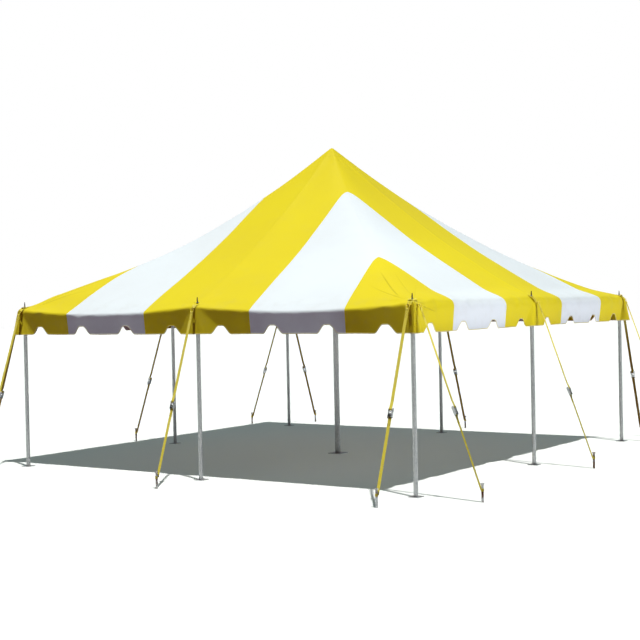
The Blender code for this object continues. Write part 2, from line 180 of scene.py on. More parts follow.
# Section of a strap: an oval drawn out by the powers to a flat one with full edges
def strapProfile(width, thick):
    turn = np.linspace(0, tau, strapSection["sides"], endpoint=False) + strapSection["start"]
    x, y = np.cos(turn), np.sin(turn)
    return np.stack([width / 2 * np.sign(x) * np.abs(x) ** strapSection["widthPower"],
                     thick / 2 * np.sign(y) * np.abs(y) ** strapSection["thickPower"]], axis=-1)


# Section of a round bar: even turns on a circle
def roundProfile(radius, sides=12):
    turn = np.linspace(0, tau, sides, endpoint=False)
    return np.stack([radius * np.cos(turn), radius * np.sin(turn)], axis=-1)


# A profile of (radius, height) spun round an axis
def spun(profile, sides, material=0):
    turn = np.linspace(0, tau, sides + 1)
    profile = np.array(profile, dtype=float)
    points = np.stack([profile[:, :1] * np.cos(turn), profile[:, :1] * np.sin(turn),
                       np.broadcast_to(profile[:, 1:], (len(profile), sides + 1))], axis=-1)
    chart = np.stack(np.broadcast_arrays(runLength(np.pad(profile, ((0, 0), (0, 1))))[:, None],
                                         turn[None] * profile[:, :1].max()), axis=-1)
    return patch(points, chart, material=material)


# A plate with rounded rims: its outline drawn in to the middle on both faces
def plate(outline, low, high, rim=0.0008):
    outline = np.array(outline, dtype=float)
    outline = np.concatenate([outline, outline[:1]])
    middle = outline[:-1].mean(axis=0)
    size = np.linalg.norm(outline - middle, axis=-1, keepdims=True)
    inner = middle + (outline - middle) * (1 - rim / size)
    rings = [(middle + 0 * outline, low), (inner, low), (outline, low + rim), (outline, high - rim),
             (inner, high), (middle + 0 * outline, high)]
    points = np.stack([np.pad(ring, ((0, 0), (0, 1)), constant_values=height) for ring, height in rings])
    return patch(points, points[..., :2])


# Moves a patch into a frame given by its origin and its three directions
def placed(part, origin, directions):
    return {**part, "points": np.array(origin) + part["points"] @ np.array(directions)}


# Makes the object of a piece from its patches, with doubles merged and faces outwards
def makePiece(name, parts, finishes, replaces=(), sharpAngle=40):
    starts = np.cumsum([0] + [len(part["points"]) for part in parts])
    points = np.concatenate([part["points"] for part in parts])
    faces = np.concatenate([part["faces"] + start for part, start in zip(parts, starts)])
    chart = np.concatenate([part["chart"] for part in parts])
    materials = np.concatenate([np.full(len(part["faces"]), part["material"]) for part in parts])
    mesh = bpy.data.meshes.new(name)
    mesh.vertices.add(len(points))
    mesh.vertices.foreach_set("co", points.ravel())
    mesh.loops.add(faces.size)
    mesh.loops.foreach_set("vertex_index", faces.ravel())
    mesh.polygons.add(len(faces))
    mesh.polygons.foreach_set("loop_start", np.arange(0, faces.size, 4))
    mesh.polygons.foreach_set("material_index", materials)
    mesh.update(calc_edges=True)
    mesh.uv_layers.new(name="chart").data.foreach_set("uv", chart[faces.ravel()].ravel())
    shape = bmesh.new()
    shape.from_mesh(mesh)
    bmesh.ops.remove_doubles(shape, verts=shape.verts, dist=2e-6)
    bmesh.ops.recalc_face_normals(shape, faces=shape.faces)
    shape.to_mesh(mesh)
    shape.free()
    for finish in finishes:
        mesh.materials.append(finish)
    mesh.shade_smooth()
    mesh.set_sharp_from_angle(angle=radians(sharpAngle))
    piece = bpy.data.objects.new(name, mesh)
    scene.collection.objects.link(piece)
    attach(piece, "root")
    if replaces:
        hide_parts(*replaces)
    return piece


# Shader maths: a wire is a node's output that can stand in an expression

class Wire:
    def __init__(self, sheet, socket):
        self.sheet, self.socket = sheet, socket

    def maths(self, operation, *values):
        return self.sheet.node("ShaderNodeMath", {"operation": operation}, dict(enumerate(values)))

    def __add__(self, other):
        return self.maths("ADD", self, other)

    def __radd__(self, other):
        return self.maths("ADD", other, self)

    def __sub__(self, other):
        return self.maths("SUBTRACT", self, other)

    def __rsub__(self, other):
        return self.maths("SUBTRACT", other, self)

    def __mul__(self, other):
        return self.maths("MULTIPLY", self, other)

    def __rmul__(self, other):
        return self.maths("MULTIPLY", other, self)

    def __truediv__(self, other):
        return self.maths("DIVIDE", self, other)

    def __rtruediv__(self, other):
        return self.maths("DIVIDE", other, self)

    def __abs__(self):
        return self.maths("ABSOLUTE", self)

    def lower(self, other, blend=0.0):     # the smaller of two, with the crossing rounded by blend
        return self.maths("SMOOTH_MIN", self, other, blend) if blend else self.maths("MINIMUM", self, other)

    def higher(self, other):
        return self.maths("MAXIMUM", self, other)

    def sine(self):
        return self.maths("SINE", self)

    def eased(self, low, high, fromValue=0.0, toValue=1.0):
        return self.sheet.node("ShaderNodeMapRange", {"interpolation_type": "SMOOTHSTEP"},
                               {0: self, 1: low, 2: high, 3: fromValue, 4: toValue})

    def near(self, core, edge):            # 1 up to core, 0 from edge on
        return 1 - self.eased(core, edge)

    def within(self, start, full, fade, end):   # up to 1 between the first two, down between the others
        return self.eased(start, full) * self.near(fade, end)


class Finish:                              # the node sheet of one material, or of the world
    def __init__(self, owner):
        self.owner = bpy.data.materials.new(owner) if isinstance(owner, str) else owner
        self.owner.use_nodes = True
        self.tree = self.owner.node_tree
        self.tree.nodes.clear()

    # Any node: its settings first, then the values or wires of its sockets
    def node(self, kind, settings, sockets, output=0):
        made = self.tree.nodes.new(kind)
        for key, value in settings.items():
            setattr(made, key, value)
        for key, value in sockets.items():
            if isinstance(value, Wire):
                self.tree.links.new(value.socket, made.inputs[key])
            else:
                made.inputs[key].default_value = value
        return Wire(self, made.outputs[output]) if made.outputs else None

    def parts(self, coords, count):        # the first few parts of a vector
        return [self.node("ShaderNodeSeparateXYZ", {}, {0: coords}, k) for k in range(count)]

    def place(self):                       # x, y and z on the object, in metres
        coords = self.node("ShaderNodeTexCoord", {}, {}, 3)
        return coords, self.parts(coords, 3)

    def chart(self):                       # the piece's own map, in metres
        return self.parts(self.node("ShaderNodeUVMap", {"uv_map": "chart"}, {}), 2)

    def noise(self, coords, scale, detail=2.0, roughness=0.5):
        return self.node("ShaderNodeTexNoise", {}, {"Vector": coords, "Scale": scale, "Detail": detail,
                                                    "Roughness": roughness})

    def stretched(self, coords, scale):    # coordinates squeezed along an axis
        return self.node("ShaderNodeMapping", {}, {"Vector": coords, "Scale": scale})

    def blend(self, factor, first, second):
        first, second = [value if isinstance(value, Wire) else (*value, 1.0) for value in (first, second)]
        return self.node("ShaderNodeMix", {"data_type": "RGBA"}, {0: factor, 6: first, 7: second}, 2)

    def bump(self, height, distance):
        return self.node("ShaderNodeBump", {}, {"Height": height, "Distance": distance, "Strength": 1.0})

    def principled(self, sockets):
        return self.node("ShaderNodeBsdfPrincipled", {}, sockets)

    def done(self, shader, kind="ShaderNodeOutputMaterial"):
        self.node(kind, {}, {"Surface": shader})
        return self.owner


# An object whose frame has these directions and this origin
def framed(name, data, right, up, back, origin):
    matrix = np.eye(4)
    matrix[:3, 0], matrix[:3, 1], matrix[:3, 2], matrix[:3, 3] = right, up, back, origin
    made = bpy.data.objects.new(name, data)
    scene.collection.objects.link(made)
    made.matrix_world = matrix.T.tolist()
    return made


# Camera, where the photograph was taken

camera = {
    "azimuth": 33.672,        # degrees from the front, towards the right
    "distance": 17.930,       # from the middle of the tent, on the level
    "aboveEave": 0.0175,
    "yaw": 0.681,             # degrees turned past the middle of the tent
    "pitch": -0.802,
    "roll": -1.159,
    "focal": 1283.44 / 640,   # in frame widths
    "farthest": 300,
}


# The camera looks ahead by its yaw and pitch, and its level and upright directions are turned by its roll
def makeCamera():
    azimuth = radians(camera["azimuth"])
    yaw, pitch, roll = azimuth + radians(camera["yaw"]), radians(camera["pitch"]), radians(camera["roll"])
    ahead = np.array([-sin(yaw) * cos(pitch), cos(yaw) * cos(pitch), sin(pitch)])
    level = np.array([cos(yaw), sin(yaw), 0])
    upright = np.cross(level, ahead)
    right = cos(roll) * level + sin(roll) * upright
    up = cos(roll) * upright - sin(roll) * level
    spot = np.array([camera["distance"] * sin(azimuth), -camera["distance"] * cos(azimuth),
                     tent["eaveHeight"] + camera["aboveEave"]])
    lens = bpy.data.cameras.new("camera")
    lens.lens = lens.sensor_width * camera["focal"]
    lens.clip_end = camera["farthest"]
    scene.camera = framed("camera", lens, right, up, -ahead, spot)


makeCamera()
print("camera set")

# Floor and light

studio = {
    "floorHalf": 90.0,
    "floorColour": (0.77, 0.79, 0.78),
    "floorMottle": 0.98,      # its darker patches, as a share, and their scale
    "floorPatches": 0.8,
    "floorRoughness": 0.95,
    "floorGlow": (0.75, 1.0, 0.95),    # lifts the shadow without lighting the tent
    "floorGlowStrength": 0.13,
    # two suns of one strength: the first lights all but the floor, and the second, from the side that the
    # shadow needs, lights the floor alone
    "suns": (("sun", (0.0, -0.215, 0.977), "EXCLUDE"), ("floor_sun", (0.33, -0.16, 0.93), "INCLUDE")),
    "sunAway": 20,
    "sunStrength": 4.1,
    "sunAngle": 1.2,          # degrees across, for the softness of the shadow's edge
    "sunColour": (1.0, 0.985, 0.95),
    # two light panels on the +X side: a long low one for the valance, and a narrow beam that lights the near
    # half of that side's roof: spot, aim, size, spread in degrees and power
    "panels": (((4.75, -0.4, 0.25), (3.05, -0.4, 2.02), (7.4, 0.4), 24.0, 16.8),
               ((7.5, -0.8, 4.9), (1.9, -1.55, 3.1), (1.5, 1.5), 54.0, 7.0)),
    # light from all round, by the height and the depth of its direction
    "topColour": (0.80, 0.90, 1.0),
    "topStrength": 0.06,
    "topFrom": (0.35, 0.75),
    "skylineColour": (0.75, 0.94, 1.0),
    "skylineStrengths": (0.02, 0.35),  # at the front and at the back
    "skylineTurn": (-0.3, 0.5),
    "horizonHalf": 0.08,
    "belowColour": (1.0, 0.36, 0.80),
    "belowStrength": 0.12,
    "backdrop": (1.0, 1.0, 1.0),       # what the camera sees
}


# A lamp at a spot, aimed at another, with its long side level
def placeLamp(lamp, spot, aim):
    back = unit(np.array(spot) - aim)
    side = unit(np.cross([0, 1, 0], back))
    return framed(lamp.name, lamp, side, np.cross(back, side), back, spot)


# The floor: a wide square with faint patches that shows the shadow, glows a little and throws no light
def makeFloor():
    paint = Finish("pale_floor")
    coords, _ = paint.place()
    mottled = [channel * studio["floorMottle"] for channel in studio["floorColour"]]
    shade = paint.blend(paint.noise(coords, studio["floorPatches"], 3.0), studio["floorColour"], mottled)
    finish = paint.done(paint.principled({
        "Base Color": shade, "Roughness": studio["floorRoughness"], "Specular IOR Level": 0.0,
        "Emission Color": (*studio["floorGlow"], 1.0), "Emission Strength": studio["floorGlowStrength"]}))
    corners = studio["floorHalf"] * np.array([(-1, -1, 0), (1, -1, 0), (1, 1, 0), (-1, 1, 0)])
    mesh = bpy.data.meshes.new("floor")
    mesh.from_pydata(corners.tolist(), [], [(0, 1, 2, 3)])
    mesh.materials.append(finish)
    floor = bpy.data.objects.new("floor", mesh)
    scene.collection.objects.link(floor)
    floor.visible_diffuse = False           # it throws no light back up
    floor.visible_shadow = False
    return floor


# The suns, each linked to the floor or to all but the floor, and the panels
def makeLamps(floor):
    for name, direction, link in studio["suns"]:
        lamp = bpy.data.lights.new(name, "SUN")
        lamp.energy, lamp.color = studio["sunStrength"], studio["sunColour"]
        lamp.angle = radians(studio["sunAngle"])
        made = placeLamp(lamp, np.array(direction) * studio["sunAway"], np.zeros(3))
        lit = bpy.data.collections.new(name + "_link")
        lit.objects.link(floor)
        lit.collection_objects[0].light_linking.link_state = link
        made.light_linking.receiver_collection = lit
    for spot, aim, size, spread, power in studio["panels"]:
        lamp = bpy.data.lights.new("panel", "AREA")
        lamp.shape, lamp.size, lamp.size_y = "RECTANGLE", size[1], size[0]
        lamp.energy, lamp.spread = power, radians(spread)
        placeLamp(lamp, spot, aim).visible_camera = False


# Light from all round: colour and strength blend from below to the skyline and on to the top with the
# height of the direction, and along the skyline with its depth. The camera sees the backdrop instead.
def makeWorld():
    world = bpy.data.worlds.new("studio")
    scene.world = world
    sheet = Finish(world)
    _, y, z = sheet.parts(sheet.node("ShaderNodeTexCoord", {}, {}, 0), 3)
    above = z.eased(-studio["horizonHalf"], studio["horizonHalf"])
    high = z.eased(*studio["topFrom"])
    colour = sheet.blend(above, studio["belowColour"], studio["skylineColour"])
    colour = sheet.blend(high, colour, studio["topColour"])
    skyline = y.eased(*studio["skylineTurn"], *studio["skylineStrengths"]) * above * (1 - high)
    strength = studio["belowStrength"] * (1 - above) + skyline + studio["topStrength"] * high
    lighting = sheet.node("ShaderNodeBackground", {}, {"Color": colour, "Strength": strength})
    backdrop = sheet.node("ShaderNodeBackground", {}, {"Color": (*studio["backdrop"], 1.0), "Strength": 1.0})
    seen = sheet.node("ShaderNodeLightPath", {}, {})
    shown = sheet.node("ShaderNodeMixShader", {}, {0: seen, 1: lighting, 2: backdrop})
    sheet.done(shown, "ShaderNodeOutputWorld")
    scene.view_settings.view_transform = "Standard"


makeLamps(makeFloor())
makeWorld()
print("floor and light set")

# The roof's shape

# Dip of the eave: a parabola over the share of the way from a middle pole to a corner's
def eaveDip(across):
    return tent["eaveSag"] * 4 * across * (1 - across)


# Height of the solids' roof: a rise that flattens towards the eave, on contours that are rounded squares
# near the peak and true squares at the eave, less the hollows between the lines of tension
def roofHeight(x, y):
    x, y = np.abs(x) / halfSide, np.abs(y) / halfSide
    along, across = np.maximum(np.maximum(x, y), 1e-6), np.minimum(x, y)
    power = tent["contourPower"]
    contour = (along ** power + across ** power) ** (1 / power)
    reach = contour + (along - contour) * along
    rise = tent["peakRise"] * (1 - reach) * (1 - tent["roofCurve"] * reach)
    hollow = tent["panelHollow"] * np.sin(pi * across / along) ** 2 * reach * (1 - reach)
    return tent["eaveHeight"] + rise - hollow - eaveDip(across) * along ** tent["sagPower"]


# Plan of a square ring: share runs from -1 to 1 along a side, straight and then half round each corner
def ringPlan(share, reach, radius):
    straight = reach - radius
    run = np.abs(share) * (straight + radius * pi / 4)
    angle = np.clip((run - straight) / radius, 0, pi / 4)
    along = np.sign(share) * (np.minimum(run, straight) + radius * np.sin(angle))
    lean = np.sign(share) * np.sin(angle)
    return along, straight + radius * np.cos(angle), lean, np.cos(angle)


# A side's own (along, outward) as x and y: the front's turned by quarters
def turned(along, outward, side):
    x, y = along, -outward
    for _ in range(side):
        x, y = -y, x
    return x, y


polePlan = halfSide - tent["poleInset"]
poleSpots = np.array([spot for side in range(4)
                      for spot in (turned(0.0, polePlan, side), turned(polePlan, polePlan, side))])

# Shares are of the way from the peak to the eave
canopy = {
    "firstRing": 0.045,       # half size of its hole under the peak cap
    "seamInset": 0.095,       # its lower edge inside the eave, lapped over the valance
    "thick": 0.003,
    "hem": 0.0014,            # how much thinner it gets at that edge
    "hemRun": 0.025,
    "rows": 76,
    "rowCrowds": ((1.4, 0.25), (1.5, 0.35)),     # strength and width, at the peak and at the eave
    "sideColumns": 154,
    "columnCrowds": ((1.6, 0.13), (1.8, 0.12)),  # at the middles and at the corners
    "cornerRound": 0.035,
    "crease": 0.020,          # depth of the hollows beside each face's middle ridge
    "hipRound": 0.15,         # half width over which the hips are rounded off
    "hipSlope": 0.19,         # fall of the cloth on both sides of a hip
    "hipFull": 0.45,          # share from which they are fully rounded
    "hipSharp": (0.86, 0.98),    # shares between which they get sharp again
    "welt": 0.003,            # rise over the webbing under the cloth
    "weltHalf": 0.03,
    "weltStart": (0.04, 0.14),
    "pinLift": 0.004,
    "pinLiftHalf": 0.09,
    "pinFold": 0.0065,        # folds that spread from the pins
    "pinFolds": (9, 14),      # how many in a full turn, in two sets
    "pinFoldReach": 0.20,
    "gather": 0.011,          # hollows above the eave beside the corners
    "gatherAlong": (0.09, 0.27),   # half width and middle, from the corner
    "gatherInset": (0.04, 0.05),   # and from the eave
    "droop": 0.012,           # slack cloth between two pins, below an arch
    "droopPower": 1.3,
    "archReach": 0.46,
    "sideLift": 0.065,        # on the right and left the cloth above the eave hardly dips between two pins
    "sideLiftRun": 0.36,
    "sideLiftStart": 0.4,     # distance from the hips over which it begins
    "hipLift": 0.060,         # on the left the hips are drawn tighter towards the corner pins
    "hipLiftHalf": 0.42,
    "hipLiftRise": (0.45, 0.85),
    "hipLiftFall": (0.88, 0.968),
    "hipLiftStart": 0.5,      # distance from the tent's middle over which it begins
    "unevenness": 0.0028,
    "unevenLengths": (0.35, 1.5),
    "unevenStart": (0.05, 0.3),
    "unevenSeed": 4,
    "peakFold": 0.004,
    "peakFolds": 12,
    "peakFoldRing": (0.13, 0.26),  # half width and radius
}


# Hollows beside each face's middle ridge, rounded hips, and on the left their lift, by the share of the way
# to the eave and the distance from the hip
def hipRelief(x, lean, share, fromHip):
    relief = -canopy["crease"] * 2 * (1 - lean) * np.sin(pi * lean) * np.clip(4 * share * (1 - share), 0, 1)
    rounded = np.hypot(fromHip, canopy["hipRound"]) - fromHip
    full = np.clip(share / canopy["hipFull"], 0, 1)
    relief -= canopy["hipSlope"] * rounded * full * (1 - ease(*canopy["hipSharp"], share))
    rise, fall = ease(*canopy["hipLiftRise"], share), 1 - ease(*canopy["hipLiftFall"], share)
    tight = bell(fromHip, canopy["hipLiftHalf"]) * rise * fall
    return relief + canopy["hipLift"] * tight * ease(0.0, canopy["hipLiftStart"], -x)


# What the eave does between two pins: slack below an arch, the lift on the right and left, and the hollows
# beside the corners
def eaveRelief(first, second, along, across):
    between = 4 * (across / halfSide) * (1 - np.minimum(across / halfSide, 1))
    arch = np.maximum(canopy["archReach"] * between, 0.01)
    slack = np.clip(1 - (halfSide - along) / arch, 0, 1)
    relief = -canopy["droop"] * between * slack ** canopy["droopPower"]
    lifted = ease(0.0, canopy["sideLiftStart"], first - second)
    lifted = lifted * ease(halfSide - canopy["sideLiftRun"], halfSide, along)
    relief += canopy["sideLift"] * between * lifted
    gathered = bell(halfSide - across, *canopy["gatherAlong"])
    return relief - canopy["gather"] * gathered * bell(halfSide - along, *canopy["gatherInset"])


# Folds that spread from each pin as waves by the heading from it, and a small rise at the pin
def pinRelief(x, y):
    relief = 0.0
    few, many = canopy["pinFolds"]
    for pin, (pinX, pinY) in enumerate(poleSpots):
        away, heading = np.hypot(x - pinX, y - pinY), np.arctan2(y - pinY, x - pinX)
        near = away / canopy["pinFoldReach"]
        folds = np.cos(few * heading + 1.7 * pin + 1.2 * near) + 0.6 * np.cos(many * heading + 2.3 * pin)
        relief = relief + canopy["pinFold"] * folds * near * np.exp(-near * 1.5)
        relief = relief + canopy["pinLift"] * np.exp(-away / canopy["pinLiftHalf"])
    return relief


# What the cloth adds to the solids' height: hips and eave as above, welts over webbing, folds round the
# pins, small pleats at the peak, and slow unevenness
def roofRelief(x, y):
    first, second = np.abs(x), np.abs(y)
    along, across = np.maximum(np.maximum(first, second), 1e-6), np.minimum(first, second)
    share, fromHip = along / halfSide, (along - across) * diagonal
    welts = bell(across, canopy["weltHalf"]) + bell(fromHip, canopy["weltHalf"])
    relief = hipRelief(x, across / along, share, fromHip) + eaveRelief(first, second, along, across)
    relief += canopy["welt"] * welts * ease(*canopy["weltStart"], share) + pinRelief(x, y)
    middle, heading = np.hypot(x, y), np.arctan2(y, x)
    pleats = np.cos(canopy["peakFolds"] * heading + 3 * np.sin(2 * heading))
    relief += canopy["peakFold"] * pleats * bell(middle, *canopy["peakFoldRing"])
    uneven = ripples(x, y, canopy["unevenLengths"], canopy["unevenSeed"])
    return relief + canopy["unevenness"] * uneven * ease(*canopy["unevenStart"], share)


# The cloth's upper face: the solids' height and what the cloth adds
def roofSurface(x, y):
    return roofHeight(x, y) + roofRelief(x, y)


# The canopy: rings like squares with rounded corners from the peak to the eave, at the height of the roof's
# surface and thinned at the lower edge, and the same grid again a thickness below
def makeCanopy(finish):
    (middleStrength, middleWidth), (cornerStrength, cornerWidth) = canopy["columnCrowds"]
    (peakStrength, peakWidth), (eaveStrength, eaveWidth) = canopy["rowCrowds"]
    shares = crowded(-1, 1, canopy["sideColumns"] + 1,
                     lambda a: 1 + middleStrength * bell(a, middleWidth)
                     + cornerStrength * bell(1 - np.abs(a), cornerWidth))[:-1]
    reach = crowded(canopy["firstRing"], halfSide - canopy["seamInset"], canopy["rows"],
                    lambda d: 1 + peakStrength * bell(d, peakWidth)
                    + eaveStrength * bell(halfSide - d, eaveWidth))[:, None]
    radius = np.minimum(canopy["cornerRound"], reach * 0.4)
    rings = []
    for side in range(4):
        along, outward, _, _ = ringPlan(shares[None], reach, radius)
        rings.append(np.stack(turned(along, outward, side), axis=-1))
    plan = np.concatenate(rings + [rings[0][:, :1]], axis=1)
    hem = canopy["hem"] * ease(-canopy["hemRun"], 0.0, reach - reach[-1])
    height = roofSurface(plan[..., 0], plan[..., 1]) - hem
    points = np.concatenate([plan, height[..., None]], axis=-1)
    chart = np.stack(np.broadcast_arrays(np.linspace(0, 8 * halfSide, plan.shape[1])[None], reach), axis=-1)
    under = np.concatenate([plan, (height + hem - canopy["thick"])[..., None]], axis=-1)
    cloth = clothPatch(points, under, chart, ring=True)
    panels = ("centre_panel_", "white_strip_", "corner_panel_")
    piece = makePiece("canopy", [cloth], [finish],
                      [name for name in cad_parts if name.startswith(panels)])


# The peak cap, a rounded patch welded over the canopy's top

peakCap = {
    "half": 0.15,
    "lift": 0.0018,
    "thick": 0.0022,
    "blunt": 0.012,
    "planPower": 4.0,         # a square with full corners
    "rim": (0.94, 1.0),       # share of its reach over which it gets down to the canopy
    "rimFall": 0.6,
    "rows": 20,
    "rowPower": 0.9,          # rows crowd towards the rim
    "columns": 192,
}


# The cap: rings like squares with full corners. The depth below the peak becomes the root of its square and
# the blunting's, which rounds the point, and the rim comes down to the canopy.
def makePeakCap(finish):
    turn = np.linspace(0, tau, peakCap["columns"] + 1)[None]
    out = np.linspace(0.0, 1.0, peakCap["rows"])[:, None] ** peakCap["rowPower"]
    power = peakCap["planPower"]
    shape = (np.abs(np.cos(turn)) ** power + np.abs(np.sin(turn)) ** power) ** (-1 / power)
    x, y = peakCap["half"] * out * shape * np.cos(turn), peakCap["half"] * out * shape * np.sin(turn)
    depth = roofHeight(0.0, 0.0) - roofSurface(x, y)
    low = np.hypot(depth[-1:], peakCap["blunt"]) - depth[-1:]      # what the rounding adds at the rim
    blunted = np.sqrt(depth ** 2 + peakCap["blunt"] ** 2) - low
    lift = peakCap["lift"] * (1 - peakCap["rimFall"] * ease(*peakCap["rim"], out))
    points = np.stack([x, y, roofHeight(0.0, 0.0) - blunted + lift], axis=-1)
    under = points - np.array([0, 0, peakCap["thick"]])
    cloth = clothPatch(points, under, points[..., :2], ring=True)
    piece = makePiece("peak_patch", [cloth], [finish], ["peak_cap"])


# The valance: each side's strip runs over the eave in a soft roll and hangs to a notched, bound edge

valance = {
    "bottom": 0.34,           # below the eave's height at a pole
    "lapInsets": (0.145, 0.130, 0.115),    # its top, in under the canopy
    "lapShares": (0.5, 0.8),  # two more rows, as shares of the way from there to the roll
    "lapDrop": 0.0034,        # its face below the canopy's there
    "rollInset": (0.018, 0.070),  # where it starts to turn down, on the front and back and on the others
    "rollRows": 9,
    "cornerInset": 0.036,     # and at the corners
    "cornerEase": (0.05, 0.4),
    "pucker": 0.30,           # unevenness of that line, as a share
    "puckerLengths": (0.10, 0.45),
    "puckerStart": (0.02, 0.3),
    "puckerSeed": 11,
    "stand": 0.004,           # its face outside the eave
    "thick": 0.0022,
    "cornerRound": 0.020,
    "mitreRun": 0.16,         # the corners stay sharp where the cloth stands out
    "notches": 8,
    "notchDepth": 0.10,
    "notchWide": 0.148,       # half widths at the foot and at the top, both eased
    "notchNarrow": 0.028,
    "edgeWave": 0.0015,       # slow rise and fall of the free edge
    "edgeWaves": 9,
    "binding": 0.011,
    "bindingRise": 0.0009,
    "bindingStep": 0.001,
    "columns": 400,
    # crowding of the columns, as strength and width: on the notches' flanks, the middle and the corners
    "columnCrowds": ((1.2, 0.07), (2.0, 0.12), (4.0, 0.10)),
    "flank": 0.09,            # of a notch, from its middle
    "skirtRows": 18,
    "dropStart": 0.03,        # below its top, where the strip starts to hang free
    "wave": 0.003,            # size of the waves towards the free edge
    # the waves: share of that size, length, start, and what each side adds to the start
    "waves": ((1.0, 0.61, 1.0, 0), (0.7, 0.37, 2.0, 1), (0.6, 1.3, 0.0, 1)),
    "wavePower": 1.5,
    "waveFromCorner": (0.05, 0.5),    # distances between which the waves grow
    "waveFromPole": (0.05, 0.45),
    "waveShift": 7.3,         # from one side to the next
    "lean": 0.041,            # how far the free edge hangs inwards
    "poleFlare": 0.012,       # the cloth stands out under a middle pin
    "poleRun": 0.46,          # and falls back over this length to its right
    "poleBack": 0.27,         # and over this to its left
    "cornerFlare": (0.054, -0.012),   # at the front left and back right corners, and at the other two
    "cornerRun": 0.27,
    "cornerBack": 0.12,
    "foldRidge": 0.005,       # rise of the ridge along such a fold's creases
    "foldRidgePlace": (0.04, 0.06),   # its half width and its middle, as shares of the fold
    # pleats from the pins: place at the free edge, depth and width
    "cornerPleats": ((0.035, -0.017, 0.020), (0.085, 0.010, 0.022), (0.150, -0.005, 0.016),
                     (0.215, -0.007, 0.018)),
    "polePleats": ((0.05, -0.004, 0.016), (0.13, 0.003, 0.02), (-0.07, 0.004, 0.02), (-0.16, -0.003, 0.02)),
}
notchPitch = 2 * halfSide / valance["notches"]
rollStart = len(valance["lapInsets"]) + len(valance["lapShares"])      # number of the roll's first row
rollEnd = rollStart + valance["rollRows"]


def fromNotch(s):                           # distance along a side from the nearest notch's middle
    return np.abs((s + halfSide) % notchPitch - notchPitch / 2)


# Depth of the notches along a side, from 0 at the free edge to 1 at their tops
def notchShape(s):
    return 1 - ease(valance["notchNarrow"], valance["notchWide"], fromNotch(s))


# A fold that stands out from a pin: a flat wedge, full on the line under the pin and back on the hanging
# cloth at a crease on each side, with a small ridge along the crease. The creases start at the pin, so the
# wedge widens with the drop, which is 1 at the free edge.
def standingFold(s, drop, pin, run, back, flare):
    wide = np.maximum(drop, 0.02)
    right, left = 1 - (s - pin) / (run * wide), 1 + (s - pin) / (back * wide)
    fold = np.clip(np.minimum(right, left), 0, 1)
    ridge = valance["foldRidge"] * bell(fold, *valance["foldRidgePlace"])
    return drop * ((flare + valance["lean"]) * fold + ridge)


# How far the strip is pushed out, by its place along the side and its drop: a lean inwards, standing folds
# and pleats at the pins, and slow waves
def skirtPush(s, drop, side):
    push = -valance["lean"] * drop
    push = push + standingFold(s, drop, 0.0, valance["poleRun"], valance["poleBack"], valance["poleFlare"])
    flare = valance["cornerFlare"]
    push = push + standingFold(s, drop, -halfSide, valance["cornerRun"], 1.0, flare[side % 2])
    push = push + standingFold(s, drop, halfSide, 1.0, valance["cornerBack"], flare[1 - side % 2])
    wide = np.maximum(drop, 0.05)
    for pin, pleats in ((-halfSide, valance["cornerPleats"]), (0.0, valance["polePleats"])):
        for place, depth, width in pleats:
            push = push + depth * drop * bell(s - pin, width * wide + 0.004, place * wide)
    along = s + valance["waveShift"] * side
    waves = sum(size * np.sin(along * tau / length + start + step * side)
                for size, length, start, step in valance["waves"])
    away = ease(*valance["waveFromCorner"], halfSide - np.abs(s)) * ease(*valance["waveFromPole"], np.abs(s))
    return push + valance["wave"] * waves * drop ** valance["wavePower"] * away


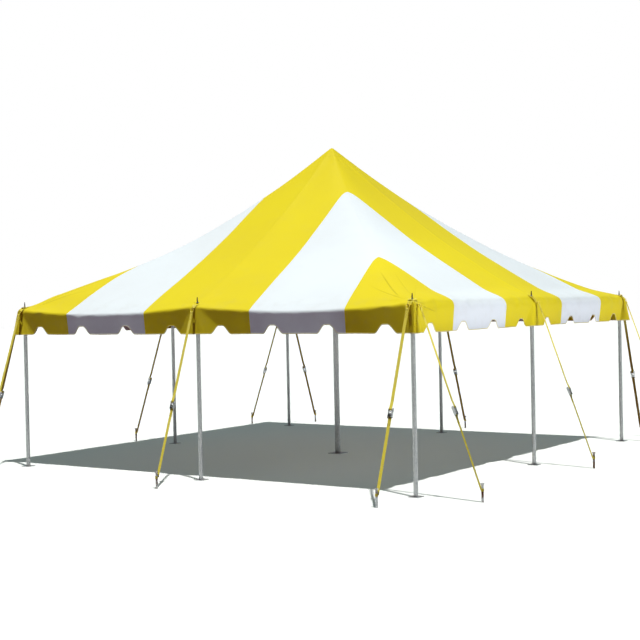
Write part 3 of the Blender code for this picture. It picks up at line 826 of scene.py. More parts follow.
# The strip's rows from its top under the canopy to its free edge: along the side, outwards, lean of the
# corners, height, and the rise of the binding
def valanceGrid(side):
    crowds = valance["columnCrowds"]

    def density(a):
        s = a * halfSide
        places = fromNotch(s) - valance["flank"], s, halfSide - np.abs(s)
        weight = 1
        for place, (strength, width) in zip(places, crowds):
            weight = weight + strength * bell(place, width)
        return weight

    share = crowded(-1, 1, valance["columns"], density)[None]
    s = share * halfSide
    radius = valance["cornerRound"]

    def lapLevel(reach):                    # below the roof's surface on the ring at this reach
        along, outward, _, _ = ringPlan(share, reach, radius)
        return roofSurface(*turned(along, outward, side)) - valance["lapDrop"]

    # the roll leaves the roof's line at its start and ends upright at the face
    face = halfSide + valance["stand"]
    inset, fromCorner = valance["rollInset"][side % 2], halfSide - np.abs(s)
    uneven = ripples(s, 2.0 * side, valance["puckerLengths"], valance["puckerSeed"])
    inset = inset * (1 + valance["pucker"] * (uneven * ease(*valance["puckerStart"], fromCorner)))
    cornerShare = 1 - ease(*valance["cornerEase"], fromCorner)
    start = halfSide - inset + (inset - valance["cornerInset"]) * cornerShare
    height, step = lapLevel(start), 0.004
    slope = (height - lapLevel(start - step)) / step
    knee = height + slope * (face - start)
    reach, level = [], []
    for inset in valance["lapInsets"]:
        reach.append(np.full_like(s, halfSide - inset))
        level.append(lapLevel(halfSide - inset))
    last = reach[-1]
    for t in valance["lapShares"]:
        reach.append((1 - t) * last + t * start)
        level.append(lapLevel(reach[-1]))
    turnLength = np.hypot(face - start, height - knee)
    for t in np.linspace(0, 1, valance["rollRows"]):
        reach.append((1 - t) ** 2 * start + (1 - (1 - t) ** 2) * face)
        level.append((1 - t) ** 2 * height + 2 * t * (1 - t) * knee + t ** 2 * (knee - turnLength))

    # the free edge, and the direction across it into the cloth
    foot = tent["eaveHeight"] - valance["bottom"] + valance["notchDepth"] * notchShape(s) \
        + valance["edgeWave"] * np.sin(s * valance["edgeWaves"] + side)
    edgeRun, edgeRise = np.gradient(s[0]), np.gradient(foot[0])
    edgeLength = np.hypot(edgeRun, edgeRise)
    inwardS, inwardZ = -edgeRise / edgeLength, edgeRun / edgeLength

    # rows of the hanging cloth, which turn square to the edge as they near it, and then of the binding
    wide, small = valance["binding"], valance["bindingStep"]
    bindingDepths, bindingLifts = (wide, wide - small, small, 0.0), (0.0, 1.0, 1.0, 0.4)
    top, before = level[-1], wide + 3 * small
    endS, endZ = s + inwardS * before, foot + inwardZ * before
    rows, lift = [s] * rollEnd, [0.0] * rollEnd
    for t in np.linspace(0, 1, valance["skirtRows"])[1:]:
        rows.append(s + (endS - s) * t ** 3)
        level.append(top + (endZ - top) * t)
        lift.append(0.0)
    for depth, rise in zip(bindingDepths, bindingLifts):
        rows.append(s + inwardS * depth)
        level.append(foot + inwardZ * depth)
        lift.append(rise)
    reach += [face + 0 * s] * (len(rows) - rollEnd)
    along, height, reach = np.concatenate(rows), np.concatenate(level), np.concatenate(reach)
    plan, outward, leanS, leanOut = ringPlan(np.clip(along / halfSide, -1, 1), reach, radius)
    hanging = valance["bottom"] + valance["dropStart"]
    drop = np.clip((height[:1] - valance["dropStart"] - height) / hanging, 0, 1)
    push = skirtPush(along, drop, side)
    mitre = 1 - ease(0.0, valance["mitreRun"], halfSide - radius - np.abs(along))
    plan, outward = plan + np.sign(along) * mitre * push, outward + push
    return plan, outward, leanS, leanOut, height, np.array(lift)[:, None] * valance["bindingRise"]


# A valance: the grid, raised at the binding along its normals, and the same grid again a thickness behind
def makeValance(side, finish):
    plan, outward, _, _, height, lift = valanceGrid(side)
    middle = np.stack([*turned(plan, outward, side), height], axis=-1)
    normals = gridNormals(middle)
    outer = middle + normals * lift[..., None]
    inner = middle - normals * (valance["thick"] + lift[..., None])
    steps = np.linalg.norm(np.diff(middle[::-1], axis=0), axis=-1)
    fromEdge = np.concatenate([np.cumsum(steps, axis=0)[::-1], np.zeros_like(height[:1])])
    cloth = clothPatch(outer, inner, np.stack([plan, fromEdge], axis=-1))
    name = sideNames[side]
    piece = makePiece("valance_strip_" + name, [cloth], [finish], ["valance_" + name], 50)


# Webbing under the cloth, from the peak to each pole, and round the top of the valance inside

underWebbing = {
    "half": 0.024,
    "thick": 0.002,
    "gap": 0.0012,            # under the canopy
    "first": 0.17,            # its ends, from the middle of the tent
    "last": 2.95,
    "hipStretch": 1.414,      # length along a hip for each metre outwards
    "eaveRows": 4,            # rows of the valance that the eave's webbing backs, from the roll down
    "eaveGap": 0.0008,
}


# Straps down the middles and hips: straight in plan, and a little below the canopy's under face
def makeRoofWebbing(finish):
    parts = []
    half = underWebbing["half"]
    reach = np.linspace(underWebbing["first"], underWebbing["last"], 90)[:, None]
    off = np.linspace(-half, half, 9)[None]
    for line in range(8):
        side, corner = line // 2, line % 2
        if corner:                          # down the hip, with its width square to it
            along, outward = reach + off * diagonal, reach - off * diagonal
        else:
            along, outward = off + 0 * reach, reach + 0 * off
        x, y = turned(along, outward, side)
        outer = np.stack([x, y, roofSurface(x, y) - canopy["thick"] - underWebbing["gap"]], axis=-1)
        inner = outer - np.array([0, 0, underWebbing["thick"]])
        run = reach * (underWebbing["hipStretch"] if corner else 1.0)
        chart = np.stack(np.broadcast_arrays(run, off + half), axis=-1)
        parts.append(clothPatch(outer, inner, chart))
    makePiece("roof_webbing", parts, [finish])


# Straps behind the valance's first hanging rows: its grid moved inwards, along the corners' lean
def makeEaveWebbing(finish):
    parts = []
    rows = slice(rollEnd, rollEnd + underWebbing["eaveRows"])
    nearFace = valance["thick"] + underWebbing["eaveGap"]
    for side in range(4):
        plan, outward, leanS, leanOut, height, _ = valanceGrid(side)
        layers = []
        for inwards in (nearFace, nearFace + underWebbing["thick"]):
            x, y = turned(plan[rows] - leanS[rows] * inwards, outward[rows] - leanOut[rows] * inwards, side)
            layers.append(np.stack([x, y, height[rows]], axis=-1))
        chart = np.stack([plan[rows], height[:1] - height[rows]], axis=-1)
        parts.append(clothPatch(*layers, chart))
    makePiece("eave_webbing", parts, [finish])


# The guys: two legs of webbing from beside the pin over the eave to a ring, a strap sewn round the ring,
# a ratchet, and a strap down to a loop on the stake

guy = {
    "legWidth": 0.026,
    "legSpread": 0.036,       # of the legs from the pin
    "legMeet": 0.005,         # and at the ring
    "legThick": 0.0024,
    "legLift": 0.0055,        # middle of a leg over the valance's face
    "legStarts": ((0.030, 0.45), (0.012, 0.5)),    # inside the pin's line, and the roof's slope there
    "legStartLift": 0.001,
    "legEnd": (-0.002, 0.004),     # outwards from the ring's middle, and above its top
    "legLap": 0.0024,         # how far one leg lies over the other at the ring
    "strapWidth": 0.038,
    "strapThick": 0.0026,
    "ringOut": 0.101,         # ring's middle, out from the pin and up
    "ringUp": 2.050,
    "ringRadius": 0.022,
    "ringWire": 0.004,
    "sewn": 0.13,             # length of the strap's doubled end
    "fold": 0.03,             # and how soon its two layers meet
    "layer": 0.0030,          # from one layer to the next
    "loopEnd": 0.10,          # the doubled end at the ratchet's bolt
    "loopTail": (-0.0062, -0.0065),    # its second layer off the strap's face, at its end and at the fold
    "clear": 0.0002,          # between the strap and what it turns round
    "ratchetUp": 0.95,
    "spoolRun": 0.08,         # the strap rises to the spool over this length
    "spoolRise": 0.004,
    "spoolCore": 0.0075,      # radii of the wound strap, at its core and full
    "spoolFull": 0.0135,
    "spoolTurns": 3.0,
    "loopUp": 0.13,
    "loopRun": 0.05,
    "stakeRadius": 0.0125,
    "stakeGap": 0.0005,
    "thread": 0.0007,
    "seam": (0.72, 0.055),    # a sewn box's share of the strap's width, and its length
    "seamStarts": (0.045, 0.035),  # from the ring's wire and from the bolt
    "seamLifts": (0.0016, -0.0013),
}

# Along the strap, downwards from the ratchet's middle, and outwards from its face
ratchet = {
    "cheek": 0.0025,
    "frameHalf": 0.0255,      # outer faces of the frame's cheeks
    "frameRounds": (0.0165, 0.0085),    # their rounding at the spool and at the bolt
    "handleHalf": 0.0222,
    "handleRounds": (0.0135, 0.0065),
    "spoolAlong": -0.034,
    "spoolRadius": 0.0060,
    "boltAlong": 0.052,
    "boltFace": -0.002,
    "boltRadius": 0.0042,
    "boltPast": 0.004,        # beyond the frame
    "gripAlong": 0.040,
    "gripFace": 0.011,
    "gripRadius": 0.0068,
    "gripGap": 0.001,
    "teeth": 12,
    "toothFoot": 0.0140,
    "toothRise": 0.0034,
    "wheelPast": 0.0022,      # a toothed wheel's outer face beyond the frame
    "wheelThick": 0.0020,
    "headRadius": 0.0072,     # the bolt's six-sided heads, and the spacer in its middle
    "headHalf": 0.0020,
    "headRim": 0.0006,
    "headPast": 0.0030,
    "spacerHalf": 0.0026,
    "pawl": ((-0.014, 0.008), (-0.002, 0.012), (-0.001, 0.015), (-0.015, 0.011)),      # sections
    "base": ((0.004, -0.0105), (0.046, -0.0085), (0.046, -0.0063), (0.004, -0.0083)),
    "barSeat": 0.0004,        # how far these two run into the frame's cheeks
}


# Outline round two circles, as a belt would run
def belt(firstMiddle, secondMiddle, radii, count=14):
    first, second = np.array(firstMiddle, dtype=float), np.array(secondMiddle, dtype=float)
    gap = np.linalg.norm(second - first)
    heading = np.arctan2(*(second - first)[::-1])
    lean = np.arccos((radii[0] - radii[1]) / gap)
    turnFirst = heading + np.linspace(lean, tau - lean, count)
    turnSecond = heading + np.linspace(-lean, lean, count)
    rings = zip((first, second), radii, (turnFirst, turnSecond))
    return np.concatenate([middle + radius * np.stack([np.cos(turn), np.sin(turn)], axis=-1)
                           for middle, radius, turn in rings])


# Two plates side by side, at plus and minus their place across the ratchet. The outline is (along, face).
def cheekPair(outline, outerHalf, thick):
    plates = []
    for sign in (-1, 1):
        part = plate(outline, 0, thick)
        along, face, depth = part["points"].T
        part["points"] = np.stack([sign * (outerHalf - thick + depth), along, face], axis=-1)
        plates.append(part)
    return plates


# A rod across the ratchet, with its middle off to one side
def crossRod(radius, half, along, face, material=0, sides=16, rim=0.001, off=0.0):
    part = spun([(0, -half), (radius - rim, -half), (radius, -half + rim), (radius, half - rim),
                 (radius - rim, half), (0, half)], sides, material)
    x, y, z = part["points"].T
    part["points"] = np.stack([z + off, along + x, face + y], axis=-1)
    return part


# A bar across the ratchet, from its section
def crossBar(section, half):
    part = plate(section, -half, half)
    x, y, z = part["points"].T
    part["points"] = np.stack([z, x, y], axis=-1)
    return part


# The ratchet in its own frame: across, along the strap, and outwards
def ratchetParts():
    frameHalf, handleHalf, cheek = ratchet["frameHalf"], ratchet["handleHalf"], ratchet["cheek"]
    spool, bolt = (ratchet["spoolAlong"], 0), (ratchet["boltAlong"], ratchet["boltFace"])
    gripSpot = (ratchet["gripAlong"], ratchet["gripFace"])
    parts = cheekPair(belt(spool, bolt, ratchet["frameRounds"]), frameHalf, cheek)
    parts += cheekPair(belt(spool, gripSpot, ratchet["handleRounds"]), handleHalf, cheek)
    turn = np.linspace(0, tau, ratchet["teeth"] * 4, endpoint=False)
    edge = ratchet["toothFoot"] + ratchet["toothRise"] * ((turn * ratchet["teeth"] / tau) % 1.0)
    wheel = np.stack([spool[0] + edge * np.cos(turn), edge * np.sin(turn)], axis=-1)
    parts += cheekPair(wheel, frameHalf + ratchet["wheelPast"], ratchet["wheelThick"])
    headRadius, headPast = ratchet["headRadius"], frameHalf + ratchet["headPast"]
    parts.append(crossRod(ratchet["spoolRadius"], headPast, *spool))
    parts.append(crossRod(ratchet["boltRadius"], frameHalf + ratchet["boltPast"], *bolt))
    parts.append(crossRod(headRadius, ratchet["spacerHalf"], *bolt, sides=6))
    parts.append(crossRod(ratchet["gripRadius"], handleHalf - ratchet["gripGap"], *gripSpot, 1, 20))
    parts += [crossRod(headRadius, ratchet["headHalf"], *bolt, sides=6, rim=ratchet["headRim"],
                       off=sign * headPast) for sign in (-1, 1)]
    half = frameHalf - cheek + ratchet["barSeat"]
    return parts + [crossBar(ratchet["pawl"], half), crossBar(ratchet["base"], half)]


# A sewn box with its two diagonals, as one line
def stitchPath(width, length, steps=26):
    corners = [(-1, 0), (1, 0), (1, 1), (-1, 1), (-1, 0), (1, 1), (1, 0), (-1, 1)]
    stops = np.array([(a * width / 2, b * length, 0.0) for a, b in corners])
    return np.concatenate([np.linspace(a, b, steps, endpoint=False) for a, b in zip(stops, stops[1:])])


# The line of the legs' middle in the guy's own frame (across, outwards, up): from inside the pin, over the
# roll of the valance, and down to the ring
def legLine(side, s):
    plan, outward, _, _, height, _ = valanceGrid(side)
    column = int(np.argmin(np.abs(plan[0] - s)))
    out, up = outward[:rollEnd, column] - polePlan, height[:rollEnd, column]
    rows = np.stack([0 * up, out, up], axis=-1)
    normal = unit(np.stack([0 * up, -np.gradient(up), np.gradient(out)], axis=-1))
    line = (rows + normal * guy["legLift"])[rollStart:-1]
    outEnd, upEnd = guy["legEnd"]
    ends = np.array([[0.0, guy["ringOut"] + outEnd, guy["ringUp"] + guy["ringRadius"] + upEnd]])
    line = np.concatenate([line, ends])
    line[:, 1] = np.maximum.accumulate(line[:, 1])
    top = line[0, 2]
    starts = [(0.0, -back, top + back * slope + guy["legStartLift"]) for back, slope in guy["legStarts"]]
    return evenly(rounded(np.concatenate([starts, line]), 2), 40)


# The ways of the upper and lower strap, as points (along the guy from the ring, off its face)
def strapWays(along, total):
    hook = np.linspace(0, pi, 13)
    radius, thick, layer, fold = guy["ringRadius"], guy["strapThick"], guy["layer"], guy["fold"]
    # doubled at the ring and wound on the spool
    bend = guy["ringWire"] + thick / 2 + guy["clear"]
    wrap = np.stack([radius - bend * np.sin(hook), -bend * np.cos(hook)], axis=-1)
    spool = along + ratchet["spoolAlong"]
    turns = np.linspace(0, guy["spoolTurns"] * tau, 90)
    wound = guy["spoolCore"] + (guy["spoolFull"] - guy["spoolCore"]) * (1 - turns / turns[-1])
    spiral = np.stack([spool - wound * np.sin(turns), wound * np.cos(turns)], axis=-1)
    behind = [(radius + guy["sewn"], -layer), (radius + fold, -layer)]
    before = [(radius + fold, guy["clear"]), (radius + guy["sewn"], 0.0),
              (spool - guy["spoolRun"], guy["spoolRise"])]
    upper = np.concatenate([behind, wrap, before, spiral])
    # doubled at the bolt
    bolt, face = along + ratchet["boltAlong"], ratchet["boltFace"]
    bend = ratchet["boltRadius"] + thick / 2 + guy["clear"]
    wrap = np.stack([bolt - bend * np.sin(hook), face - bend * np.cos(hook)], axis=-1)
    tail, root = guy["loopTail"]
    behind = [(bolt + guy["loopEnd"], tail), (bolt + fold, root)]
    before = [(bolt + fold, -layer), (bolt + guy["loopEnd"], -layer), (total - guy["loopRun"], 0.0)]
    return upper, np.concatenate([behind, wrap, before])


# A guy from the pin at s along a side to its stake, as paths and profiles in a frame of its own (across,
# outwards, up) that is then set to the pin
def makeGuy(label, side, s, webbing, thread, steel, grip, yellowSteel):
    low, high = (np.array(corner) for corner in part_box("stake_" + label))
    stake = (low + high) / 2
    axes = np.array([turned(1.0, 0.0, side) + (0.0,), turned(0.0, 1.0, side) + (0.0,), (0.0, 0.0, 1.0)])
    pin = np.array(turned(s, polePlan, side) + (0.0,))
    spread = np.linalg.norm(stake[:2] - pin[:2])
    ring = np.array([0.0, guy["ringOut"], guy["ringUp"]])
    loop = np.array([0.0, spread - guy["stakeRadius"] - guy["strapThick"], guy["loopUp"]])
    total = np.linalg.norm(loop - ring)
    ahead = unit(loop - ring)
    across = np.array([1.0, 0.0, 0.0])
    face = np.cross(across, ahead)
    face = face * np.sign(face[1])

    def local(steps):                       # points given by how far along the guy and off its face
        return ring + steps[:, :1] * ahead + steps[:, 1:] * face

    def strap(path, width, thick):
        return carried(path, np.broadcast_to(across, path.shape), strapProfile(width, thick))

    # legs over the eave, the right one over the left at the ring
    soft = []
    line = legLine(side, s)
    run = runLength(line) / runLength(line)[-1]
    spreads = guy["legSpread"] + (guy["legMeet"] - guy["legSpread"]) * ease(0.05, 1.0, run)
    for sign, lap in ((-1, 0.0), (1, guy["legLap"])):
        leg = line.copy()
        leg[:, 0] = sign * spreads
        leg[:, 1:] += lap * ease(0.6, 0.9, run)[:, None]
        soft.append(strap(leg, guy["legWidth"], guy["legThick"]))
    # the ring, flat against the guy's line
    turn = np.linspace(0, tau, 41)
    circle = ring + guy["ringRadius"] * (np.cos(turn)[:, None] * across + np.sin(turn)[:, None] * ahead)
    spokes = np.broadcast_to(face, circle.shape)
    hard = [carried(circle, spokes, roundProfile(guy["ringWire"]), material=2, capped=False)]
    # the two straps
    along = (guy["ringUp"] - guy["ratchetUp"]) / -ahead[2]
    upper, lower = strapWays(along, total)
    for path in (evenly(local(upper), 260), evenly(np.concatenate([local(lower), loop[None]]), 120)):
        soft.append(strap(path, guy["strapWidth"], guy["strapThick"]))
    # loop round the stake
    inner, tall = guy["stakeRadius"] + guy["stakeGap"], guy["strapWidth"] * 0.4
    section = ((0, -tall), (0.0008, -tall - 0.0006), (0.0030, -tall), (0.0034, 0), (0.0030, tall),
               (0.0008, tall + 0.0006), (0, tall), (0, -tall))
    band = spun([(inner + out, up) for out, up in section], 28)
    band["points"] = band["points"] + np.array([0.0, spread, guy["loopUp"]])
    soft.append(band)
    # sewn boxes
    share, length = guy["seam"]
    ends = guy["ringRadius"], along + ratchet["boltAlong"]
    for end, start, off in zip(ends, guy["seamStarts"], guy["seamLifts"]):
        box = stitchPath(guy["strapWidth"] * share, length)
        seam = ring + box[:, :1] * across + (end + start + box[:, 1:2]) * ahead + off * face
        sides = np.broadcast_to(face, seam.shape)
        soft.append(carried(seam, sides, roundProfile(guy["thread"], 5), material=1))
    hard += [placed(part, ring + along * ahead, [across, ahead, face]) for part in ratchetParts()]
    soft, hard = [[placed(part, pin, axes) for part in parts] for parts in (soft, hard)]
    node = ["guy_" + label]
    makePiece("guy_strap_" + label, soft, [webbing, thread], node, 60)
    makePiece("guy_fittings_" + label, hard, [steel, grip, yellowSteel], node)


# One guy at each side's middle and two at each corner
def makeGuys(*finishes):
    for side, name in enumerate(sideNames):
        makeGuy(name, side, 0.0, *finishes)
    for side, name in enumerate(cornerNames):
        makeGuy(name + "_a", side, polePlan, *finishes)
        makeGuy(name + "_b", (side + 1) % 4, -polePlan, *finishes)


# Eyelets round the pins, weld beads at the feet, and the bolt and collar of the centre pole's joint

trim = {
    "poleRadius": 0.0254,
    "centreRadius": 0.0381,
    "eyelet": 0.019,
    "eyeletHole": 0.0088,
    "bead": 0.0028,
    "beadUp": 0.0085,
    "boltUp": 2.17,
    "boltSeat": 0.0006,
    "boltHead": ((0, 0), (0.0085, 0), (0.0095, 0.001), (0.0095, 0.005), (0.008, 0.0062), (0, 0.0062)),
    "collarUp": 2.100,
    # the collar's section: beyond the pole, and up from its middle
    "collar": ((0.0001, -0.008), (0.0024, -0.006), (0.0031, 0.0), (0.0024, 0.006), (0.0001, 0.008),
               (-0.0001, 0.0), (0.0001, -0.008)),
}


# Eyelets spun round each pin at the height of the cloth, beads round the feet, whose thickness ripples with
# the turn, and the bolt's two heads and the collar
def makePoleTrim(steel):
    parts = []
    hole, out = trim["eyeletHole"], trim["eyelet"]
    section = [(hole, -0.004), (hole, 0.0012), (hole + 0.001, 0.0024), (hole + 0.0035, 0.0026),
               (out - 0.002, 0.0012), (out, 0.0002), (out, -0.0012), (hole + 0.001, -0.004), (hole, -0.004)]
    turn = np.linspace(0, tau, 9)
    for x, y in poleSpots:
        level = roofSurface(x + out * np.cos(turn), y + out * np.sin(turn)).max()
        rim = spun(section, 32)
        rim["points"] = rim["points"] + np.array([x, y, level])
        parts.append(rim)
    feet = [(x, y, trim["poleRadius"]) for x, y in poleSpots] + [(0.0, 0.0, trim["centreRadius"])]
    turn, about = np.linspace(0, tau, 97), np.linspace(0, tau, 9)
    for seed, (x, y, radius) in enumerate(feet):
        bead = trim["bead"] * (1 + 0.18 * np.sin(24 * turn) + 0.08 * np.sin(5 * turn + seed))
        reach = radius + bead[:, None] * (0.3 + np.cos(about))
        up = trim["beadUp"] + bead[:, None] * (0.3 + np.sin(about))
        points = [x + reach * np.cos(turn)[:, None], y + reach * np.sin(turn)[:, None], up]
        parts.append(patch(np.stack(points, axis=-1)))
    for sign in (-1, 1):
        head = spun(trim["boltHead"], 6)
        x, y, z = head["points"].T
        seat = trim["centreRadius"] - trim["boltSeat"]
        head["points"] = np.stack([sign * (seat + z), x, trim["boltUp"] + y], axis=-1)
        parts.append(head)
    collar = [(trim["centreRadius"] + past, trim["collarUp"] + up) for past, up in trim["collar"]]
    parts.append(spun(collar, 48))
    makePiece("pole_trim", parts, [steel])


# Finishes

vinylLook = {
    "yellow": (0.805, 0.695, 0.018),
    "yellowWorn": (0.775, 0.655, 0.024),
    "creaseShade": (0.46, 0.38, 0.012),
    "white": (0.81, 0.885, 0.93),
    "whiteWorn": (0.78, 0.845, 0.885),
    "dustAndSeamShade": (0.42, 0.38, 0.30),
    "binding": (0.80, 0.72, 0.35),
    "apexRound": 0.20,        # rounding of the stripes' points
    "stripeEdge": 0.0012,     # half width of the change from one colour to the other
    "lap": 0.025,             # width of a welded seam
    "thread": 0.0042,         # pitch of the scrim that shows through the coating
    "through": 0.13,          # share of light that passes
    "gloss": 0.14,
    "depth": 0.0011,          # of the relief
    "tape": (0.0100, 0.0112), # edge of the tape that binds the valance
    "stitchLine": 0.0082,     # its stitches, from the edge, and their pitch
    "stitch": 0.006,
}

# Fold lines on the roof that lead to the corner pins, darkened with painted shade and drawn as bumps. One
# runs beside the hip, and one slants to it from a spot (outwards, aside). Their strength rises and falls
# between four distances aside.
foldLines = {
    "half": 0.013,
    "core": 0.2,              # share of that with full strength
    # share of painted shade laid along the fold lines and the side crease
    "dirtAndCreaseShade": 0.45,
    "besideHip": 0.115,
    "besideRun": (2.10, 2.35, 2.62, 2.80),
    "slantSpot": (2.593, 2.214),
    "slantSlope": 0.54,
    "slantSquare": 0.88,      # from a distance outwards to one square to the line
    "slantRun": (2.15, 2.5, 2.7, 2.9),
    "slantStrength": 0.7,
    "sideStrength": 0.35,     # on the right and left
    "relief": 3.0,
}

# A crease on the right and left valances that runs out from a corner's pin, a little below the eave,
# darkened with painted shade and drawn as a bump
sideCrease = {
    "fromCorner": 0.06,
    "height": 2.085,
    "slope": 0.235,
    "half": 0.009,
    "run": (0.02, 0.12, 0.33, 0.46),
    "strength": 0.8,
}


# The stripes by the distance from a side's middle: 1 where the cloth is white, and the distance from a seam
def stripes(first, second, share):
    across = first.lower(second, vinylLook["apexRound"])
    centreEdge = tent["centreStripe"] * (1 - tent["centreTaper"] * (1 - share))
    whiteEdge = tent["whiteStripe"] * (1 - tent["whiteTaper"] * (1 - share))
    toCentre, toWhite = across - centreEdge, whiteEdge - across
    edge = vinylLook["stripeEdge"]
    return toCentre.eased(-edge, edge) * toWhite.eased(-edge, edge), abs(toCentre).lower(abs(toWhite))


# Strength of the fold lines, by the distances outwards and aside
def foldStrength(reach, aside, frontal):
    half = foldLines["half"]
    core = half * foldLines["core"]
    fromBeside = abs(reach - aside - foldLines["besideHip"]) * diagonal
    beside = fromBeside.near(core, half) * aside.within(*foldLines["besideRun"])
    spotOut, spotAside = foldLines["slantSpot"]
    pastSpot = (aside - spotAside) * foldLines["slantSlope"]
    fromSlanted = abs(reach - spotOut - pastSpot) * foldLines["slantSquare"]
    slanted = fromSlanted.near(core, half) * aside.within(*foldLines["slantRun"])
    folds = beside + foldLines["slantStrength"] * slanted
    weak = foldLines["sideStrength"]
    return folds * (weak + (1 - weak) * frontal)


# Strength of the side crease, by the place along the side and the height
def creaseStrength(run, z, sideways):
    fromPin, below = run + halfSide - sideCrease["fromCorner"], sideCrease["height"] - z
    slant = abs(below - fromPin * sideCrease["slope"])
    return slant.near(0.0, sideCrease["half"]) * fromPin.within(*sideCrease["run"]) * sideways


# Coated cloth: stripes with slow fading, welded seams with painted shade at their edges, dust that has
# settled above the eave, fold lines darkened with painted shade, and the scrim's weave under the coating.
# The valance's is bound with a stitched tape and has a crease on the right and left darkened with painted
# shade.
def stripedVinyl(name, bound):
    paint = Finish(name)
    coords, (x, y, z) = paint.place()
    first, second = abs(x), abs(y)
    reach, aside = first.higher(second), first.lower(second)
    share = (reach / halfSide).lower(1.0)
    white, fromSeam = stripes(first, second, share)
    worn = paint.noise(coords, 0.7, 3.0).eased(0.3, 0.75)
    clouds = paint.noise(coords, 6.0, 5.0, 0.6)
    yellow = paint.blend(worn, vinylLook["yellow"], vinylLook["yellowWorn"])
    pale = paint.blend(worn, vinylLook["white"], vinylLook["whiteWorn"])
    colour = paint.blend(white, yellow, pale)
    # a welded seam is a lapped band with a fine line of painted shade at each edge
    lap = vinylLook["lap"]
    line = abs(fromSeam - lap).near(0.0, 0.0022)
    lapped = fromSeam.near(lap - 0.0015, lap + 0.0015)
    colour = paint.blend(line * 0.14, colour, vinylLook["dustAndSeamShade"])
    dirtAndCreaseShade = clouds.eased(0.45, 0.8) * (0.03 + 0.07 * share.eased(0.86, 1.0))
    colour = paint.blend(dirtAndCreaseShade, colour, vinylLook["dustAndSeamShade"])
    # fold lines: the colour is darkened towards the crease colour as painted shade, and the relief is
    # lowered along them
    folds = foldStrength(reach, aside, (second - first).eased(0.0, 0.02))
    colour = paint.blend(folds * foldLines["dirtAndCreaseShade"], colour, vinylLook["creaseShade"])
    pitch = tau / vinylLook["thread"]
    weave = ((x + y) * pitch).sine() * ((x - y + z) * pitch).sine()
    grain = paint.noise(coords, 60.0, 3.0, 0.6)
    creases = paint.noise(paint.stretched(coords, (1.0, 1.0, 2.2)), 3.2, 4.0, 0.55)
    height = lapped * 0.5 + weave * 0.06 + grain * 0.10 + creases * 1.6 - folds * foldLines["relief"]
    roughness = 0.50 + 0.10 * clouds + 0.15 * dirtAndCreaseShade
    if bound:
        run, depth = paint.chart()
        # the side crease: painted shade towards the crease colour, and a bump
        crease = creaseStrength(run, z, (first - second).eased(0.0, 0.03))
        strength = crease * foldLines["dirtAndCreaseShade"] * sideCrease["strength"]
        colour = paint.blend(strength, colour, vinylLook["creaseShade"])
        height = height - crease * foldLines["relief"]
        colour = paint.blend(depth.near(*vinylLook["tape"]) * 0.75, colour, vinylLook["binding"])
        fromLine = abs(depth - vinylLook["stitchLine"])
        stitch = fromLine.near(0.0, 0.0010) * (run * tau / vinylLook["stitch"]).sine().eased(-0.3, 0.1)
        colour = paint.blend(stitch * 0.35, colour, vinylLook["dustAndSeamShade"])
        height = height - stitch * 0.6
    normal = paint.bump(height, vinylLook["depth"])
    surface = paint.principled({"Base Color": colour, "Roughness": roughness, "Normal": normal,
                                "Specular IOR Level": vinylLook["gloss"]})
    behind = paint.node("ShaderNodeBsdfTranslucent", {}, {"Color": colour, "Normal": normal})
    mixed = {0: vinylLook["through"], 1: surface, 2: behind}
    return paint.done(paint.node("ShaderNodeMixShader", {}, mixed))


webbingLook = {
    "colour": (0.86, 0.76, 0.085),
    "dark": (0.68, 0.57, 0.045),
    "rib": 0.0021,            # pitch across the strap
    "pick": 0.0030,           # and along it
    "depth": 0.0006,
    "gloss": 0.25,
}


# Webbing: ribs along the strap with picks that slant across them, darker in between, and dust
def webbingFinish():
    paint = Finish("woven_webbing")
    run, side = paint.chart()
    coords, _ = paint.place()
    ribs = abs((side * pi / webbingLook["rib"]).sine())
    picks = ((run * tau / webbingLook["pick"]) + (side * tau / webbingLook["rib"] / 2)).sine()
    herring = ribs * (0.5 + 0.5 * picks)
    wear = paint.noise(coords, 9.0, 4.0, 0.6).eased(0.35, 0.75)
    colour = paint.blend(herring * 0.55 + 0.25 * wear, webbingLook["dark"], webbingLook["colour"])
    colour = paint.blend(0.45 + 0.55 * herring, colour, webbingLook["colour"])
    colour = paint.blend(wear * 0.16, colour, vinylLook["dustAndSeamShade"])
    normal = paint.bump(herring, webbingLook["depth"])
    return paint.done(paint.principled({"Base Color": colour, "Roughness": 0.78 + 0.12 * wear,
                                        "Normal": normal, "Specular IOR Level": webbingLook["gloss"]}))


threadLook = {"dark": (0.34, 0.23, 0.02), "light": (0.52, 0.37, 0.04), "twist": 0.0022, "depth": 0.0003}


# Sewing thread: two tones that wind round it
def threadFinish():
    paint = Finish("sewing_thread")
    run, side = paint.chart()
    turn = tau / threadLook["twist"]
    twist = (run * turn + side * turn / 2).sine()
    colour = paint.blend(0.5 + 0.5 * twist, threadLook["dark"], threadLook["light"])
    normal = paint.bump(twist, threadLook["depth"])
    return paint.done(paint.principled({"Base Color": colour, "Roughness": 0.8, "Normal": normal}))


steelLook = {
    "light": (0.62, 0.63, 0.64),
    "dark": (0.42, 0.43, 0.45),
    "rust": (0.20, 0.085, 0.03),
    "pin": (0.060, 0.050, 0.042),
    "yellowLight": (0.86, 0.72, 0.10),
    "yellowDark": (0.66, 0.52, 0.05),
    "yellowMetal": 0.35,
    "pinFoot": (2.118, 2.122),     # heights between which the zinc ends and the bare pin begins
    "rustTop": (0.12, 0.19),       # and between which a stake's rust thins out
    "plates": 70.0,                # scale of the zinc's crystals
    "depth": 0.0005,
}


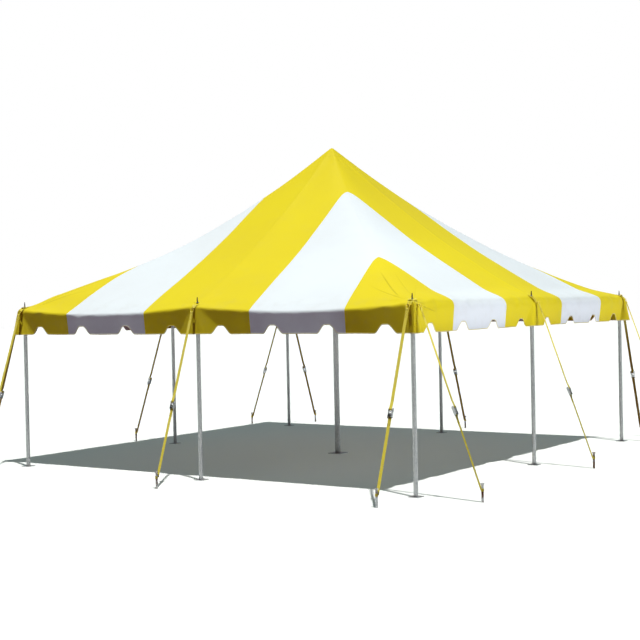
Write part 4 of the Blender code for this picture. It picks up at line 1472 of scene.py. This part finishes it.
# Hot-dip zinc: crystal plates of a few shades, dull runs, and scuffs. Above the cloth the poles' pins are
# bare iron, the stakes are worn to brown near the ground, and the rings are passivated yellow.
def zincFinish(name, pins=False, rusty=False, yellow=False):
    paint = Finish(name)
    coords, (_, _, z) = paint.place()
    plates = paint.node("ShaderNodeTexVoronoi", {"feature": "F1"},
                        {"Vector": paint.stretched(coords, (1, 1, 0.6)), "Scale": steelLook["plates"]}, 1)
    tone = paint.node("ShaderNodeSeparateColor", {}, {0: plates}, 0)
    streaks = paint.noise(paint.stretched(coords, (40.0, 40.0, 2.5)), 1.0, 4.0, 0.6)
    clouds = paint.noise(coords, 7.0, 4.0, 0.6)
    dark, light = ("yellowDark", "yellowLight") if yellow else ("dark", "light")
    shade = tone * 0.55 + streaks.eased(0.3, 0.7) * 0.45
    colour = paint.blend(shade, steelLook[dark], steelLook[light])
    roughness = 0.34 + 0.16 * tone + 0.14 * clouds
    metal = steelLook["yellowMetal"] if yellow else 1.0
    if rusty:
        speckled = clouds + 0.4 * paint.noise(coords, 60.0, 4.0, 0.6)
        spots = speckled.eased(0.62, 0.80) * (1 - z.eased(*steelLook["rustTop"]) * 0.6)
        colour = paint.blend(spots, colour, steelLook["rust"])
        roughness = roughness + 0.35 * spots
        metal = 1 - spots
    if pins:
        bare = z.eased(*steelLook["pinFoot"])
        colour = paint.blend(bare, colour, steelLook["pin"])
        roughness = roughness + 0.2 * bare
        metal = 1 - 0.8 * bare
    scratches = paint.noise(paint.stretched(coords, (3.0, 3.0, 120.0)), 4.0, 2.0)
    normal = paint.bump(streaks * 0.5 + scratches * 0.3 + tone * 0.15, steelLook["depth"])
    return paint.done(paint.principled({"Base Color": colour, "Metallic": metal, "Roughness": roughness,
                                        "Normal": normal}))


gripLook = {"dark": (0.022, 0.022, 0.024), "light": (0.045, 0.044, 0.043), "depth": 0.0004}


# Black rubber with a fine grain
def gripFinish():
    paint = Finish("grip_rubber")
    coords, _ = paint.place()
    grain = paint.noise(coords, 400.0, 2.0)
    colour = paint.blend(paint.noise(coords, 60.0, 3.0), gripLook["dark"], gripLook["light"])
    normal = paint.bump(grain, gripLook["depth"])
    return paint.done(paint.principled({"Base Color": colour, "Roughness": 0.62 + 0.1 * grain,
                                        "Normal": normal}))


cloth, boundCloth = stripedVinyl("striped_vinyl", False), stripedVinyl("striped_vinyl_bound", True)
webbing, thread, grip = webbingFinish(), threadFinish(), gripFinish()
zinc, poleZinc = zincFinish("zinc"), zincFinish("pole_zinc", pins=True)
stakeZinc, yellowZinc = zincFinish("stake_zinc", rusty=True), zincFinish("yellow_zinc", yellow=True)
print("finishes mixed")

makeCanopy(cloth)
makePeakCap(cloth)
for side in range(4):
    makeValance(side, boundCloth)
makeRoofWebbing(webbing)
makeEaveWebbing(webbing)
print("cloth cut and hung")

makeGuys(webbing, thread, zinc, grip, yellowZinc)
makePoleTrim(zinc)
print("guys strung")

for name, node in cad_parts.items():
    if "pole" in name or name.startswith("stake_"):
        for number in range(len(node.data.materials)):
            node.data.materials[number] = stakeZinc if name.startswith("stake_") else poleZinc
print("poles and stakes finished")
